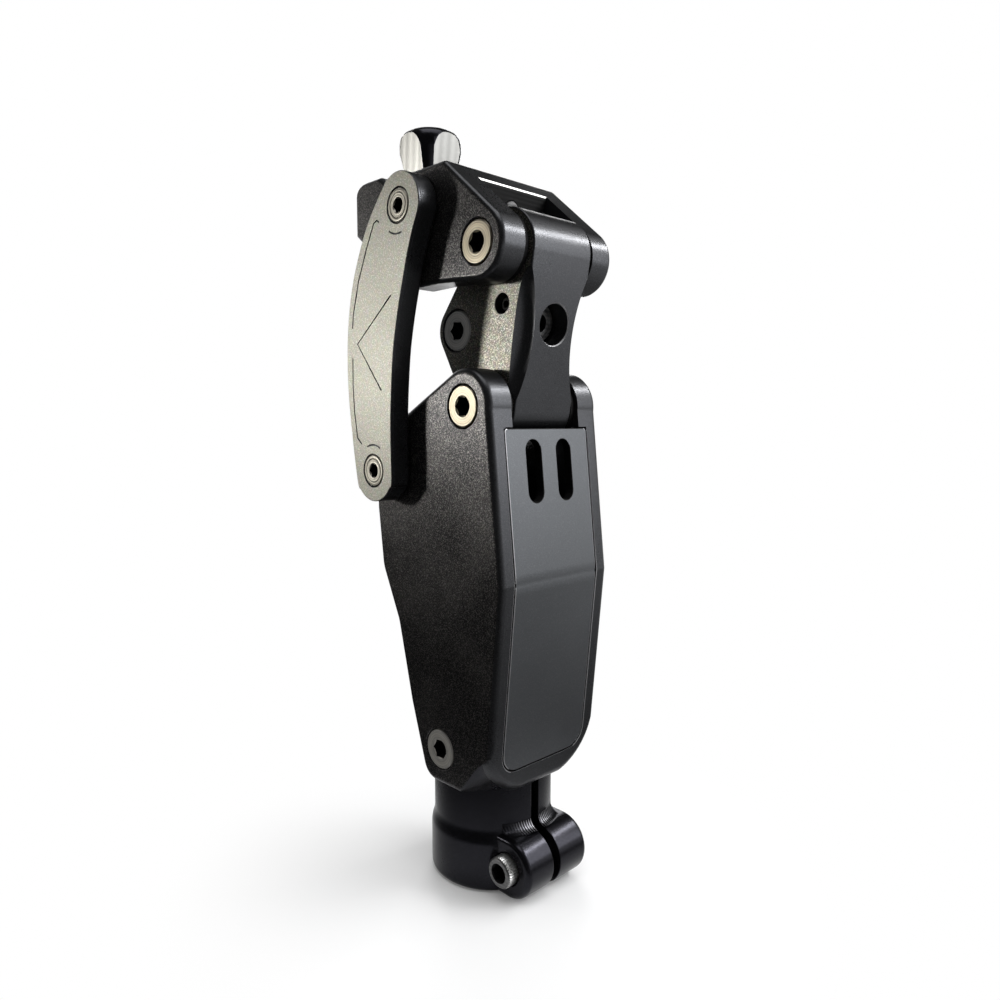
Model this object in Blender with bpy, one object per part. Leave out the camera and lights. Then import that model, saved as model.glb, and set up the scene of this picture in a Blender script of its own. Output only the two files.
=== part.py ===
"""Four-bar pneumatic prosthetic knee joint, modelled as separate pieces in metres, +Z up.

The origin is on the tube axis at the stop where the shank tube ends inside the clamp.
+Y points to the back of the leg, X runs across it, and the knee stands fully straight.
"""
import math

import bmesh
import bpy
from mathutils import Matrix, Vector

# Clearance left between two pieces that touch in the real knee
FIT = 0.0003

# Pivot positions seen from the side, each as (y, z)
REAR_LOW = (0.0117, 0.1193)
REAR_TOP = (0.0177, 0.1633)
FRONT_TOP = (-0.0066, 0.1760)
FRONT_LOW = (-0.0203, 0.1002)
CYLINDER_FOOT = (0.0007, 0.0163)
ROD_PIN = (-0.0030, 0.1422)

# Widths across the knee, from the rear link outwards
REAR_LINK_HALF = 0.0120
WASHER_THICK = 0.0016
CHEEK_INNER = REAR_LINK_HALF + WASHER_THICK + 2.0 * FIT
CHEEK_THICK = 0.0088
SIDE_PLANE = CHEEK_INNER + CHEEK_THICK
LINK_GAP = 0.0006
LINK_PLATE = 0.0060
FACE_PLATE = 0.0009

# Shank frame
FRAME_BOTTOM = 0.0054
BOSS_RADIUS = 0.0108
FRAME_EDGE = 0.0014
REAR_EDGE = 0.0024
CREASE = (0.0276, 0.0697)
REAR_FOOT = (0.0224, 0.0160)
FRAME_FLOOR = 0.0090
CORNER_BACK = 0.0190

# Rear cover
COVER_RIM = 0.0056
COVER_HALF = SIDE_PLANE - COVER_RIM
COVER_THICK = 0.0026
COVER_TOP = REAR_LOW[1] - 0.0062
COVER_BOTTOM = 0.0146
COVER_CORNER = 0.0060
COVER_GAP = 0.0004
COVER_SLOT_X = 0.0064
COVER_SLOT_HALF = 0.0031
COVER_SLOT_LOW = 0.0920
COVER_SLOT_HIGH = 0.1100

# Tube clamp
TUBE_RADIUS = 0.0151
NECK_RADIUS = 0.0188
COLLAR_RADIUS = 0.0198
COLLAR_TOP = -0.0110
CLAMP_BOTTOM = -0.0275
SLIT_HALF = 0.0015
EAR_Y = 0.0190
EAR_Z = -0.0185
EAR_RADIUS = 0.0092
EAR_OUTER = 0.0125
CLAMP_SCREW = 0.0030
SCREW_HEAD = 0.0050

# Axles and bolts
AXLE_RADIUS = 0.0045
BOLT_RADIUS = 0.0060
BOLT_DEEP = 0.0042
HEX_HALF = 0.0026
WASHER_RADIUS = 0.0104
PIN_RADIUS = 0.0040
LINK_BOLT_RADIUS = 0.0052
BUSH_WALL = 0.0015

# Rear link
LINK_LOW_RADIUS = 0.0099
LINK_TOP_RADIUS = 0.0112
ROD_BOSS_RADIUS = 0.0081
COVE_RADIUS = 0.0042
COVE_SWEEP = 0.0420
ACCESS_RADIUS = 0.0059
CLEVIS_HALF = 0.0053

# Head
HEAD_TOP = 0.1878
HEAD_BOSS = 0.0100
HEAD_EDGE = 0.0015
HEAD_FRONT = -0.0424
PYRAMID_Y = -0.0292
PYRAMID_HIGH = 0.0206
PYRAMID_TOP = HEAD_TOP + PYRAMID_HIGH
PYRAMID_RADIUS = 0.0100
REAR_SLOPE = 40.4
FLAT_OUT = 0.00637

# Pneumatic cylinder
BARREL_OUTER = 0.0105
BARREL_BORE = 0.0084
ROD_SHOWING = 0.04425
BARREL_LENGTH = math.dist(ROD_PIN, CYLINDER_FOOT) - ROD_SHOWING
GLAND_HIGH = 0.0040
EYE_RADIUS = 0.0070
EYE_HALF = 0.0080
ROD_RADIUS = 0.0035
ROD_PIN_RADIUS = 0.0035
ROD_PLAY = 0.0014
ROD_EYE_RADIUS = 0.0072
ROD_EYE_HALF = 0.0045
PISTON_LOW = 0.0480
PISTON_HIGH = 0.0090

AXIS_X = Vector((1.0, 0.0, 0.0))
AXIS_Z = Vector((0.0, 0.0, 1.0))


def clear_scene():
    for old in list(bpy.data.objects):
        bpy.data.objects.remove(old, do_unlink=True)


def make_material(name, colour, rough, metal):
    mat = bpy.data.materials.new(name)
    mat.use_nodes = True
    shader = mat.node_tree.nodes["Principled BSDF"]
    shader.inputs["Base Color"].default_value = (colour[0], colour[1], colour[2], 1.0)
    shader.inputs["Roughness"].default_value = rough
    shader.inputs["Metallic"].default_value = metal
    mat.diffuse_color = (colour[0], colour[1], colour[2], 1.0)
    return mat


def mesh_object(name, verts, faces):
    mesh = bpy.data.meshes.new(name)
    bm = bmesh.new()
    made = [bm.verts.new(v) for v in verts]
    for face in faces:
        bm.faces.new([made[i] for i in face])
    bmesh.ops.recalc_face_normals(bm, faces=bm.faces)
    bm.to_mesh(mesh)
    bm.free()
    obj = bpy.data.objects.new(name, mesh)
    bpy.context.collection.objects.link(obj)
    return obj


def arc(centre, radius, start, end, steps):
    """Points of a circular arc seen from the side, angles in degrees from +Y towards +Z."""
    points = []
    for i in range(steps + 1):
        a = math.radians(start + (end - start) * i / steps)
        points.append((centre[0] + radius * math.cos(a), centre[1] + radius * math.sin(a)))
    return points


def rounded(corners, steps=4):
    """Outline through corners given as (u, v, radius), with each corner rounded off."""
    points = []
    count = len(corners)
    for i in range(count):
        u, v, radius = corners[i]
        here = Vector((u, v))
        if radius <= 0.0:
            points.append((u, v))
            continue
        back = Vector(corners[i - 1][:2]) - here
        ahead = Vector(corners[(i + 1) % count][:2]) - here
        back.normalize()
        ahead.normalize()
        half = math.acos(max(-1.0, min(1.0, back.dot(ahead)))) / 2.0
        reach = radius / math.tan(half)
        middle = (back + ahead).normalized() * (radius / math.sin(half)) + here
        start = here + back * reach - middle
        end = here + ahead * reach - middle
        a0 = math.atan2(start.y, start.x)
        a1 = math.atan2(end.y, end.x)
        turn = (a1 - a0 + math.pi) % (2.0 * math.pi) - math.pi
        for k in range(steps + 1):
            a = a0 + turn * k / steps
            points.append((middle.x + radius * math.cos(a), middle.y + radius * math.sin(a)))
    return points


def hull(points):
    """Convex outline round a set of side-view points."""
    ordered = sorted(set(points))
    halves = []
    for run in (ordered, ordered[::-1]):
        chain = []
        for p in run:
            while len(chain) > 1:
                a, b = chain[-2], chain[-1]
                if (b[0] - a[0]) * (p[1] - a[1]) - (b[1] - a[1]) * (p[0] - a[0]) > 1e-12:
                    break
                chain.pop()
            chain.append(p)
        halves.append(chain[:-1])
    return halves[0] + halves[1]


def thin(points, least):
    """The same outline without points closer together than the least distance."""
    kept = [points[0]]
    for p in points[1:]:
        if math.dist(p, kept[-1]) > least:
            kept.append(p)
    while len(kept) > 3 and math.dist(kept[-1], kept[0]) <= least:
        kept.pop()
    return kept


def grow(points, amounts):
    """Outline moved outwards by an amount for each point; minus moves it inwards."""
    count = len(points)
    moved = []
    for i in range(count):
        here = Vector(points[i])
        back = (here - Vector(points[i - 1])).normalized()
        ahead = (Vector(points[(i + 1) % count]) - here).normalized()
        n0 = Vector((back.y, -back.x))
        n1 = Vector((ahead.y, -ahead.x))
        mid = (n0 + n1).normalized()
        stretch = amounts[i] / max(0.35, mid.dot(n0))
        moved.append((here.x + mid.x * stretch, here.y + mid.y * stretch))
    return moved


def side_shape(name, outline, x_low, x_high, edge=0.0, steps=2):
    """Side-view outline given thickness along X, with its two rims rounded by edge."""
    count = len(outline)
    edges = edge if isinstance(edge, list) else [edge] * count
    rings = []
    if max(edges) <= 0.0:
        rings = [[(x_low, p[0], p[1]) for p in outline], [(x_high, p[0], p[1]) for p in outline]]
    else:
        for side, start in ((-1.0, x_low), (1.0, x_high)):
            group = []
            for k in range(steps + 1):
                a = math.radians(90.0 * k / steps)
                inward = [-e * (1.0 - math.cos(a)) for e in edges]
                flat = grow(outline, inward)
                ring = []
                for i in range(count):
                    x = start - side * edges[i] * (1.0 - math.sin(a))
                    ring.append((x, flat[i][0], flat[i][1]))
                group.append(ring)
            rings.extend(group[::-1] if side < 0 else group)
    verts = [v for ring in rings for v in ring]
    faces = [tuple(range(count))]
    for r in range(len(rings) - 1):
        base = r * count
        for i in range(count):
            j = (i + 1) % count
            faces.append((base + i, base + j, base + count + j, base + count + i))
    last = (len(rings) - 1) * count
    faces.append(tuple(last + i for i in reversed(range(count))))
    return mesh_object(name, verts, faces)


def prism(name, outline, low, high, axis):
    """Outline given thickness along Y (outline in x, z) or along Z (outline in x, y)."""
    verts = []
    for level in (low, high):
        for p in outline:
            verts.append((p[0], level, p[1]) if axis == "Y" else (p[0], p[1], level))
    count = len(outline)
    faces = [tuple(range(count)), tuple(count + i for i in reversed(range(count)))]
    for i in range(count):
        j = (i + 1) % count
        faces.append((i, j, count + j, count + i))
    return mesh_object(name, verts, faces)


def block(name, low, high):
    x0, y0, z0 = low
    x1, y1, z1 = high
    outline = [(x0, y0), (x1, y0), (x1, y1), (x0, y1)]
    return prism(name, outline, z0, z1, "Z")


def turned(name, profile, point, direction, segments=32, closed=False):
    """Turned piece: profile of (radius, height) along a direction from a point."""
    along = Vector(direction).normalized()
    start = Vector((0.0, 0.0, 1.0)) if abs(along.z) < 0.9 else Vector((1.0, 0.0, 0.0))
    u = (start - along * start.dot(along)).normalized()
    v = along.cross(u)
    base = Vector(point)
    verts = []
    rows = []
    for radius, height in profile:
        if radius <= 1e-9:
            rows.append([len(verts)] * segments)
            verts.append(base + along * height)
            continue
        row = []
        for i in range(segments):
            a = 2.0 * math.pi * (i + 0.5) / segments
            row.append(len(verts))
            verts.append(base + along * height + (u * math.cos(a) + v * math.sin(a)) * radius)
        rows.append(row)
    faces = []
    pairs = [(k, k + 1) for k in range(len(rows) - 1)]
    if closed:
        pairs.append((len(rows) - 1, 0))
    for k, m in pairs:
        for i in range(segments):
            j = (i + 1) % segments
            ids = [rows[k][i], rows[k][j], rows[m][j], rows[m][i]]
            unique = []
            for q in ids:
                if q not in unique:
                    unique.append(q)
            if len(unique) > 2:
                faces.append(tuple(unique))
    return mesh_object(name, verts, faces)


def rod_x(name, pivot, x_low, x_high, radius, edge=0.0, segments=24):
    """Round bar along X through a pivot given as (y, z)."""
    if edge > 0.0:
        profile = [(0.0, x_low), (radius - edge, x_low), (radius, x_low + edge)]
        profile += [(radius, x_high - edge), (radius - edge, x_high), (0.0, x_high)]
    else:
        profile = [(0.0, x_low), (radius, x_low), (radius, x_high), (0.0, x_high)]
    return turned(name, profile, (0.0, pivot[0], pivot[1]), AXIS_X, segments)


def ring_x(name, pivot, x_low, x_high, outer, inner, edge=0.0, segments=24):
    """Round ring along X through a pivot."""
    profile = [(inner, x_low), (outer - edge, x_low), (outer, x_low + edge)]
    profile += [(outer, x_high - edge), (outer - edge, x_high), (inner, x_high)]
    if edge <= 0.0:
        profile = [(inner, x_low), (outer, x_low), (outer, x_high), (inner, x_high)]
    return turned(name, profile, (0.0, pivot[0], pivot[1]), AXIS_X, segments, True)


def combine(target, tool, how):
    mod = target.modifiers.new(how.title() + " " + tool.name, "BOOLEAN")
    mod.operation = how
    mod.solver = "EXACT"
    mod.object = tool
    tool.hide_render = True
    tool.display_type = "WIRE"
    return target


def cut(target, *tools):
    for tool in tools:
        combine(target, tool, "DIFFERENCE")
    return target


def add(target, *tools):
    for tool in tools:
        combine(target, tool, "UNION")
    return target


def keep_inside(target, tool):
    return combine(target, tool, "INTERSECT")


def hexagon(name, pivot, x_low, x_high, half):
    """Hexagonal socket along X, half is half its width across the flats."""
    outline = arc(pivot, half / math.cos(math.radians(30.0)), 0.0, 300.0, 5)
    return side_shape(name, outline, x_low, x_high)


def finish(obj, mat, pivot=None, smooth=30.0):
    """Give a piece its material and shading, and put its origin on its pivot."""
    obj.data.materials.clear()
    obj.data.materials.append(mat)
    obj.data.shade_smooth()
    obj.data.set_sharp_from_angle(angle=math.radians(smooth))
    if pivot is not None:
        centre = Vector((0.0, pivot[0], pivot[1]))
        obj.data.transform(Matrix.Translation(-centre))
        obj.location = centre
    return obj


def flush_bolt(name, pivot, side, face, radius, deep, hexagon_half, mat, owner=None):
    """Flush round bolt head with a hexagonal socket, its face on the plane x = side * face."""
    inner = face - deep
    profile = [(0.0, inner), (radius, inner), (radius, face - 0.0004), (radius - 0.0004, face)]
    profile.append((0.0, face))
    direction = (side, 0.0, 0.0)
    head = turned(name, profile, (0.0, pivot[0], pivot[1]), direction, 28)
    low, high = sorted((side * (face - deep * 0.7), side * (face + 0.002)))
    cut(head, hexagon(name + " socket", pivot, low, high, hexagon_half))
    return finish(head, mat, owner)


clear_scene()

BLACK = make_material("Black anodised", (0.022, 0.022, 0.025), 0.42, 0.85)
BLAST = make_material("Bead blasted black", (0.030, 0.029, 0.030), 0.55, 0.75)
SATIN = make_material("Satin dark grey", (0.060, 0.064, 0.070), 0.38, 0.80)
SILVER = make_material("Silver anodised", (0.62, 0.61, 0.55), 0.48, 0.90)
STEEL = make_material("Steel bolt", (0.58, 0.54, 0.45), 0.35, 1.0)
DARK_STEEL = make_material("Dark steel bolt", (0.13, 0.13, 0.13), 0.45, 0.9)
BRIGHT = make_material("Bright steel", (0.72, 0.72, 0.70), 0.28, 1.0)
RUBBER = make_material("Black rubber", (0.018, 0.018, 0.018), 0.80, 0.0)
BRONZE = make_material("Bearing bronze", (0.45, 0.32, 0.16), 0.40, 1.0)
CHROME = make_material("Chromed rod", (0.80, 0.80, 0.80), 0.12, 1.0)

SIDES = (("left", -1.0), ("right", 1.0))


# Shank frame: side outline, widened with rounded rims, then hollowed
def boss_outline(pivot, radius, start, end):
    return arc(pivot, radius, start, end, 11)


def rear_line(z):
    """How far back the rear face of the frame lies at a height."""
    if z >= CREASE[1]:
        top = (REAR_LOW[0] + BOSS_RADIUS, REAR_LOW[1] - 0.002)
        t = (z - CREASE[1]) / (top[1] - CREASE[1])
        return CREASE[0] + (top[0] - CREASE[0]) * t
    t = (z - REAR_FOOT[1]) / (CREASE[1] - REAR_FOOT[1])
    return REAR_FOOT[0] + (CREASE[0] - REAR_FOOT[0]) * t


foot_y = rear_line(FRAME_BOTTOM)
lower = rounded([(0.0, FRAME_BOTTOM, 0.0),
                 (foot_y, FRAME_BOTTOM, 0.0032),
                 (CREASE[0], CREASE[1], 0.0040),
                 (REAR_LOW[0] + BOSS_RADIUS, REAR_LOW[1], 0.0)])
lower = lower[1:-1]
boss = boss_outline(REAR_LOW, BOSS_RADIUS, -6.0, 118.0)
front = rounded([(REAR_LOW[0], REAR_LOW[1], 0.0),
                 (boss[-1][0], boss[-1][1], 0.0),
                 (-0.0300, boss[-1][1] - (boss[-1][0] + 0.0300) * 0.532, 0.0060),
                 (-0.0300, 0.0880, 0.0120),
                 (-0.0276, 0.0690, 0.0120),
                 (-0.0198, 0.0525, 0.0120),
                 (-0.0136, 0.0280, 0.0),
                 (-0.0062, FRAME_BOTTOM, 0.0060),
                 (0.0, FRAME_BOTTOM, 0.0)])
front = front[2:-1]
frame_outline = thin(lower + boss + front, 0.0004)
frame_edges = []
for y, z in frame_outline:
    at_back = y > rear_line(min(z, COVER_TOP)) - 0.004 and z < REAR_LOW[1] - 0.004
    frame_edges.append(REAR_EDGE if at_back else FRAME_EDGE)
frame = side_shape("shank_frame", frame_outline, -SIDE_PLANE, SIDE_PLANE, frame_edges)
bulge = turned("frame front bulge",
               [(0.0, FRAME_BOTTOM), (NECK_RADIUS - 0.0008, FRAME_BOTTOM),
                (NECK_RADIUS, FRAME_BOTTOM + 0.0008), (NECK_RADIUS, 0.0460),
                (0.0110, 0.0640), (0.0, 0.0640)],
               (0.0, 0.0, 0.0), AXIS_Z, 32)
add(frame, bulge)


def corner_ring(y, radius):
    """Ring of the block that rounds the two lower rear corners of the frame."""
    half = SIDE_PLANE + 0.0010
    low = FRAME_BOTTOM - 0.0005
    corners = [(-half, low, radius), (half, low, radius), (half, 0.1500, 0.001), (-half, 0.1500, 0.001)]
    return [(p[0], y, p[1]) for p in rounded(corners, 8)]


loft_rings = [corner_ring(-0.0340, 0.0004), corner_ring(0.0060, 0.0004),
              corner_ring(0.0245, CORNER_BACK), corner_ring(0.0340, CORNER_BACK)]
loft_count = len(loft_rings[0])
loft_faces = [tuple(range(loft_count))]
for r in range(3):
    for i in range(loft_count):
        j = (i + 1) % loft_count
        base = r * loft_count
        loft_faces.append((base + i, base + j, base + loft_count + j, base + loft_count + i))
loft_faces.append(tuple(3 * loft_count + i for i in range(loft_count)))
rounding = mesh_object("frame corner rounding", [v for ring in loft_rings for v in ring], loft_faces)
keep_inside(frame, rounding)

cavity = side_shape("frame cavity",
                    [(0.0400, 0.0190), (0.0400, 0.1700), (-0.0240, 0.1700), (-0.0240, 0.0830),
                     (-0.0160, 0.0560), (-0.0090, 0.0330), (-0.0078, FRAME_FLOOR),
                     (0.0150, FRAME_FLOOR), (0.0150, 0.0190)],
                    -CHEEK_INNER, CHEEK_INNER)
cut(frame, cavity)


def cylinder_line(swing):
    """Foot and direction of the cylinder axis after a swing in degrees about its foot."""
    run = Vector((0.0, ROD_PIN[0] - CYLINDER_FOOT[0], ROD_PIN[1] - CYLINDER_FOOT[1])).normalized()
    turn = Matrix.Rotation(math.radians(swing), 3, "X")
    return turn @ run


FOOT = Vector((0.0, CYLINDER_FOOT[0], CYLINDER_FOOT[1]))
for label, swing in (("rest", 0.0), ("half", 2.7), ("full", 5.4)):
    well = turned("cylinder well " + label,
                  [(0.0, 0.0040), (BARREL_OUTER + 0.0008, 0.0040), (BARREL_OUTER + 0.0008, 0.1000),
                   (0.0, 0.1000)], FOOT, cylinder_line(swing), 28)
    cut(frame, well)


def cover_outline(extra, top):
    """Face outline of the rear cover, seen from behind, grown by a gap."""
    half = COVER_HALF + extra
    corner = COVER_CORNER + extra
    low = COVER_BOTTOM - extra
    upper = 0.0010 if extra == 0.0 else 0.0
    return rounded([(-half, low, corner), (half, low, corner), (half, top, upper), (-half, top, upper)], 5)


def cover_band(name, inner, outer, low, high):
    """Sheet that follows the rear face of the frame between two depths."""
    marks = [low, REAR_FOOT[1], CREASE[1] - 0.0015, CREASE[1] + 0.0015, high]
    back = [(rear_line(z) - outer, z) for z in marks]
    ahead = [(rear_line(z) - inner, z) for z in marks]
    return side_shape(name, back + ahead[::-1], -0.0300, 0.0300)


pocket = prism("cover pocket", cover_outline(COVER_GAP, REAR_LOW[1] + 0.0009), 0.0, 0.0500, "Y")
keep_inside(pocket, cover_band("pocket band", COVER_THICK + FIT, -0.0100, 0.0050, 0.1400))
cut(frame, pocket)
cut(frame, rod_x("lower axle bore", REAR_LOW, -0.0300, 0.0300, AXLE_RADIUS + FIT))
for label, side in SIDES:
    x0, x1 = sorted((side * (SIDE_PLANE - BOLT_DEEP - FIT), side * 0.0300))
    cut(frame, rod_x("lower bolt seat " + label, REAR_LOW, x0, x1, BOLT_RADIUS + FIT, 0.0, 28))
    cut(frame, rod_x("foot bolt seat " + label, CYLINDER_FOOT, x0, x1, BOLT_RADIUS + FIT, 0.0, 28))
cut(frame, rod_x("foot axle bore", CYLINDER_FOOT, -0.0300, 0.0300, PIN_RADIUS + FIT))
cut(frame, rod_x("front pin bore", FRONT_LOW, -0.0300, 0.0300, PIN_RADIUS + FIT + BUSH_WALL + FIT))
for label, side in SIDES:
    spot = (side * 0.0110, 0.0100, 0.0)
    hole = turned("neck screw hole " + label,
                  [(0.0, -0.0100), (0.0028, -0.0100), (0.0028, FRAME_FLOOR - 0.0022),
                   (0.0050, FRAME_FLOOR), (0.0050, FRAME_FLOOR + 0.0020), (0.0, FRAME_FLOOR + 0.0020)],
                  spot, AXIS_Z, 20)
    cut(frame, hole)
finish(frame, BLAST)

# Rear cover plate with its two slots
cover = prism("rear_cover", cover_outline(0.0, COVER_TOP), 0.0, 0.0500, "Y")
keep_inside(cover, cover_band("cover band", COVER_THICK, 0.0, 0.0050, 0.1400))
for label, side in SIDES:
    x0 = side * COVER_SLOT_X - COVER_SLOT_HALF
    x1 = side * COVER_SLOT_X + COVER_SLOT_HALF
    slot = prism("cover slot " + label,
                 rounded([(x0, COVER_SLOT_LOW, COVER_SLOT_HALF * 0.999),
                          (x1, COVER_SLOT_LOW, COVER_SLOT_HALF * 0.999),
                          (x1, COVER_SLOT_HIGH, COVER_SLOT_HALF * 0.999),
                          (x0, COVER_SLOT_HIGH, COVER_SLOT_HALF * 0.999)], 5), 0.0, 0.0500, "Y")
    cut(cover, slot)
finish(cover, SATIN)

# Tube clamp: neck and split collar with two ears and a cross screw
clamp = turned("tube_clamp",
               [(0.0, FRAME_BOTTOM - FIT), (NECK_RADIUS, FRAME_BOTTOM - FIT),
                (NECK_RADIUS, COLLAR_TOP + 0.0022), (NECK_RADIUS + 0.0004, COLLAR_TOP + 0.0008),
                (COLLAR_RADIUS, COLLAR_TOP - 0.0008), (COLLAR_RADIUS, CLAMP_BOTTOM + 0.0018),
                (COLLAR_RADIUS - 0.0006, CLAMP_BOTTOM + 0.0006),
                (COLLAR_RADIUS - 0.0018, CLAMP_BOTTOM), (0.0, CLAMP_BOTTOM)],
               (0.0, 0.0, 0.0), AXIS_Z, 48)
ear_outline = hull(arc((EAR_Y, EAR_Z), EAR_RADIUS, -100.0, 100.0, 20)
                   + [(0.0100, EAR_Z + EAR_RADIUS + 0.0030), (0.0100, CLAMP_BOTTOM)])
ears = side_shape("clamp ears", thin(ear_outline, 0.0003), -EAR_OUTER, EAR_OUTER, 0.0008)
add(clamp, ears)
bore = turned("tube bore", [(0.0, -0.0500), (TUBE_RADIUS, -0.0500), (TUBE_RADIUS, -0.0006),
                            (TUBE_RADIUS - 0.0006, 0.0), (0.0, 0.0)],
              (0.0, 0.0, 0.0), AXIS_Z, 48)
cut(clamp, bore)
cut(clamp, block("clamp slit", (-SLIT_HALF, 0.0, -0.0500), (SLIT_HALF, 0.0400, -0.0002)))
cut(clamp, block("slit through neck", (-SLIT_HALF, 0.0130, -0.0004), (SLIT_HALF, 0.0400, 0.0200)))
cut(clamp, rod_x("clamp screw bore", (EAR_Y, EAR_Z), -0.0300, 0.0300, CLAMP_SCREW + FIT, 0.0, 24))
cut(clamp, rod_x("screw head seat", (EAR_Y, EAR_Z), EAR_OUTER, 0.0300, SCREW_HEAD + 2.0 * FIT, 0.0, 28))
for label, side in SIDES:
    spot = (side * 0.0110, 0.0100, 0.0)
    cut(clamp, turned("neck thread " + label,
                      [(0.0, 0.0004), (0.0028, 0.0004), (0.0028, 0.0100), (0.0, 0.0100)],
                      spot, AXIS_Z, 20))
finish(clamp, BLACK)

screw = turned("clamp_screw",
               [(0.0, -EAR_OUTER + 0.0010), (CLAMP_SCREW - 0.0004, -EAR_OUTER + 0.0010),
                (CLAMP_SCREW, -EAR_OUTER + 0.0014), (CLAMP_SCREW, EAR_OUTER + FIT),
                (SCREW_HEAD, EAR_OUTER + FIT), (SCREW_HEAD, EAR_OUTER + 0.0052),
                (SCREW_HEAD - 0.0006, EAR_OUTER + 0.0058), (0.0, EAR_OUTER + 0.0058)],
               (0.0, EAR_Y, EAR_Z), AXIS_X, 32)
cut(screw, hexagon("clamp screw socket", (EAR_Y, EAR_Z), EAR_OUTER + 0.0024, 0.0300, 0.0025))
finish(screw, BRIGHT)

for label, side in SIDES:
    spot = (side * 0.0110, 0.0100, 0.0)
    top = FRAME_FLOOR - 0.0002
    neck_screw = turned("neck_screw_" + label,
                        [(0.0, 0.0008), (0.0025, 0.0008), (0.0025, top - 0.0021), (0.0046, top), (0.0, top)],
                        spot, AXIS_Z, 20)
    finish(neck_screw, DARK_STEEL)

# Lower rear pivot: axle, flush bolts and thin bearing washers, held by the frame
axle_end = SIDE_PLANE - BOLT_DEEP - FIT
finish(rod_x("lower_rear_axle", REAR_LOW, -axle_end, axle_end, AXLE_RADIUS, 0.0004), BRIGHT)
for label, side in SIDES:
    flush_bolt("lower_rear_bolt_" + label, REAR_LOW, side, SIDE_PLANE, BOLT_RADIUS, BOLT_DEEP, HEX_HALF,
               STEEL)
    x0, x1 = sorted((side * (REAR_LINK_HALF + FIT), side * (CHEEK_INNER - FIT)))
    washer = ring_x("lower_washer_" + label, REAR_LOW, x0, x1, WASHER_RADIUS, AXLE_RADIUS + FIT, 0.0, 28)
    finish(washer, BRIGHT)

# Cylinder foot pivot, held by the frame
finish(rod_x("cylinder_axle", CYLINDER_FOOT, -axle_end, axle_end, PIN_RADIUS, 0.0004), BRIGHT)
for label, side in SIDES:
    flush_bolt("cylinder_bolt_" + label, CYLINDER_FOOT, side, SIDE_PLANE, BOLT_RADIUS, BOLT_DEEP, HEX_HALF,
               DARK_STEEL)

# Front lower bushes, pressed into the frame
for label, side in SIDES:
    x0, x1 = sorted((side * (CHEEK_INNER + 0.0004), side * (SIDE_PLANE - 0.0002)))
    bush = ring_x("front_bush_" + label, FRONT_LOW, x0, x1, PIN_RADIUS + FIT + BUSH_WALL, PIN_RADIUS + FIT)
    finish(bush, BRONZE)

# Rear link: three bosses joined by their outer tangents, waisted at the back
link_outline = hull(arc(REAR_LOW, LINK_LOW_RADIUS, 0.0, 351.0, 39)
                    + arc(REAR_TOP, LINK_TOP_RADIUS, 0.0, 351.0, 39)
                    + arc(ROD_PIN, ROD_BOSS_RADIUS, 0.0, 350.0, 35))
link = side_shape("rear_link", thin(link_outline, 0.0004), -REAR_LINK_HALF, REAR_LINK_HALF, 0.0005, 1)
spine = Vector((0.0, REAR_TOP[0] - REAR_LOW[0], REAR_TOP[1] - REAR_LOW[1]))
back_normal = Vector((0.0, spine.z, -spine.y)).normalized()
low_back = Vector((0.0, REAR_LOW[0], REAR_LOW[1])) + back_normal * LINK_LOW_RADIUS
top_back = Vector((0.0, REAR_TOP[0], REAR_TOP[1])) + back_normal * LINK_TOP_RADIUS
waist = low_back.lerp(top_back, 0.48)
up_back = (top_back - low_back).normalized()
face_out = Vector((0.0, up_back.z, -up_back.y))
for label, side in SIDES:
    verts = []
    rings = 25
    around = 16
    for i in range(rings):
        a = math.radians(-37.5 + 75.0 * i / (rings - 1))
        towards = Vector((-side, 0.0, 0.0)) * math.cos(a) + up_back * math.sin(a)
        centre = waist + Vector((side * (REAR_LINK_HALF + 0.0003 + COVE_SWEEP), 0.0, 0.0))
        middle = centre + towards * COVE_SWEEP
        for k in range(around):
            b = 2.0 * math.pi * (k + 0.5) / around
            verts.append(middle + (towards * math.cos(b) + face_out * math.sin(b)) * COVE_RADIUS)
    faces = [tuple(range(around)), tuple((rings - 1) * around + k for k in range(around))]
    for i in range(rings - 1):
        for k in range(around):
            m = (k + 1) % around
            faces.append((i * around + k, i * around + m, (i + 1) * around + m, (i + 1) * around + k))
    cut(link, mesh_object("rear link cove " + label, verts, faces))
clevis = side_shape("rod clevis",
                    [(-0.0200, 0.1050), (0.0016, 0.1050), (0.0020, 0.1290), (0.0058, 0.1325),
                     (0.0058, 0.1490), (0.0040, 0.1510), (-0.0200, 0.1510)],
                    -CLEVIS_HALF, CLEVIS_HALF)
cut(link, clevis)
cut(link, turned("access hole", [(0.0, -0.0220), (ACCESS_RADIUS, -0.0220), (ACCESS_RADIUS, 0.0100),
                                 (0.0, 0.0100)],
                 low_back.lerp(top_back, 0.56), face_out, 32))
cut(link, rod_x("link lower bore", REAR_LOW, -0.0300, 0.0300, AXLE_RADIUS + FIT))
cut(link, rod_x("link top bore", REAR_TOP, -0.0300, 0.0300, AXLE_RADIUS + FIT))
cut(link, rod_x("rod pin bore", ROD_PIN, -0.0300, 0.0300, ROD_PIN_RADIUS + FIT, 0.0, 24))
MID_BOLT_DEEP = 0.0032
SET_SCREW = (0.0164, 0.1482)
for label, side in SIDES:
    x0, x1 = sorted((side * (REAR_LINK_HALF - MID_BOLT_DEEP - FIT), side * 0.0300))
    cut(link, rod_x("mid bolt seat " + label, ROD_PIN, x0, x1, BOLT_RADIUS + FIT, 0.0, 28))
    x0, x1 = sorted((side * (REAR_LINK_HALF - 0.0060), side * 0.0300))
    cut(link, rod_x("set screw hole " + label, SET_SCREW, x0, x1, 0.0026, 0.0, 20))
finish(link, BLAST, REAR_LOW)

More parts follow.
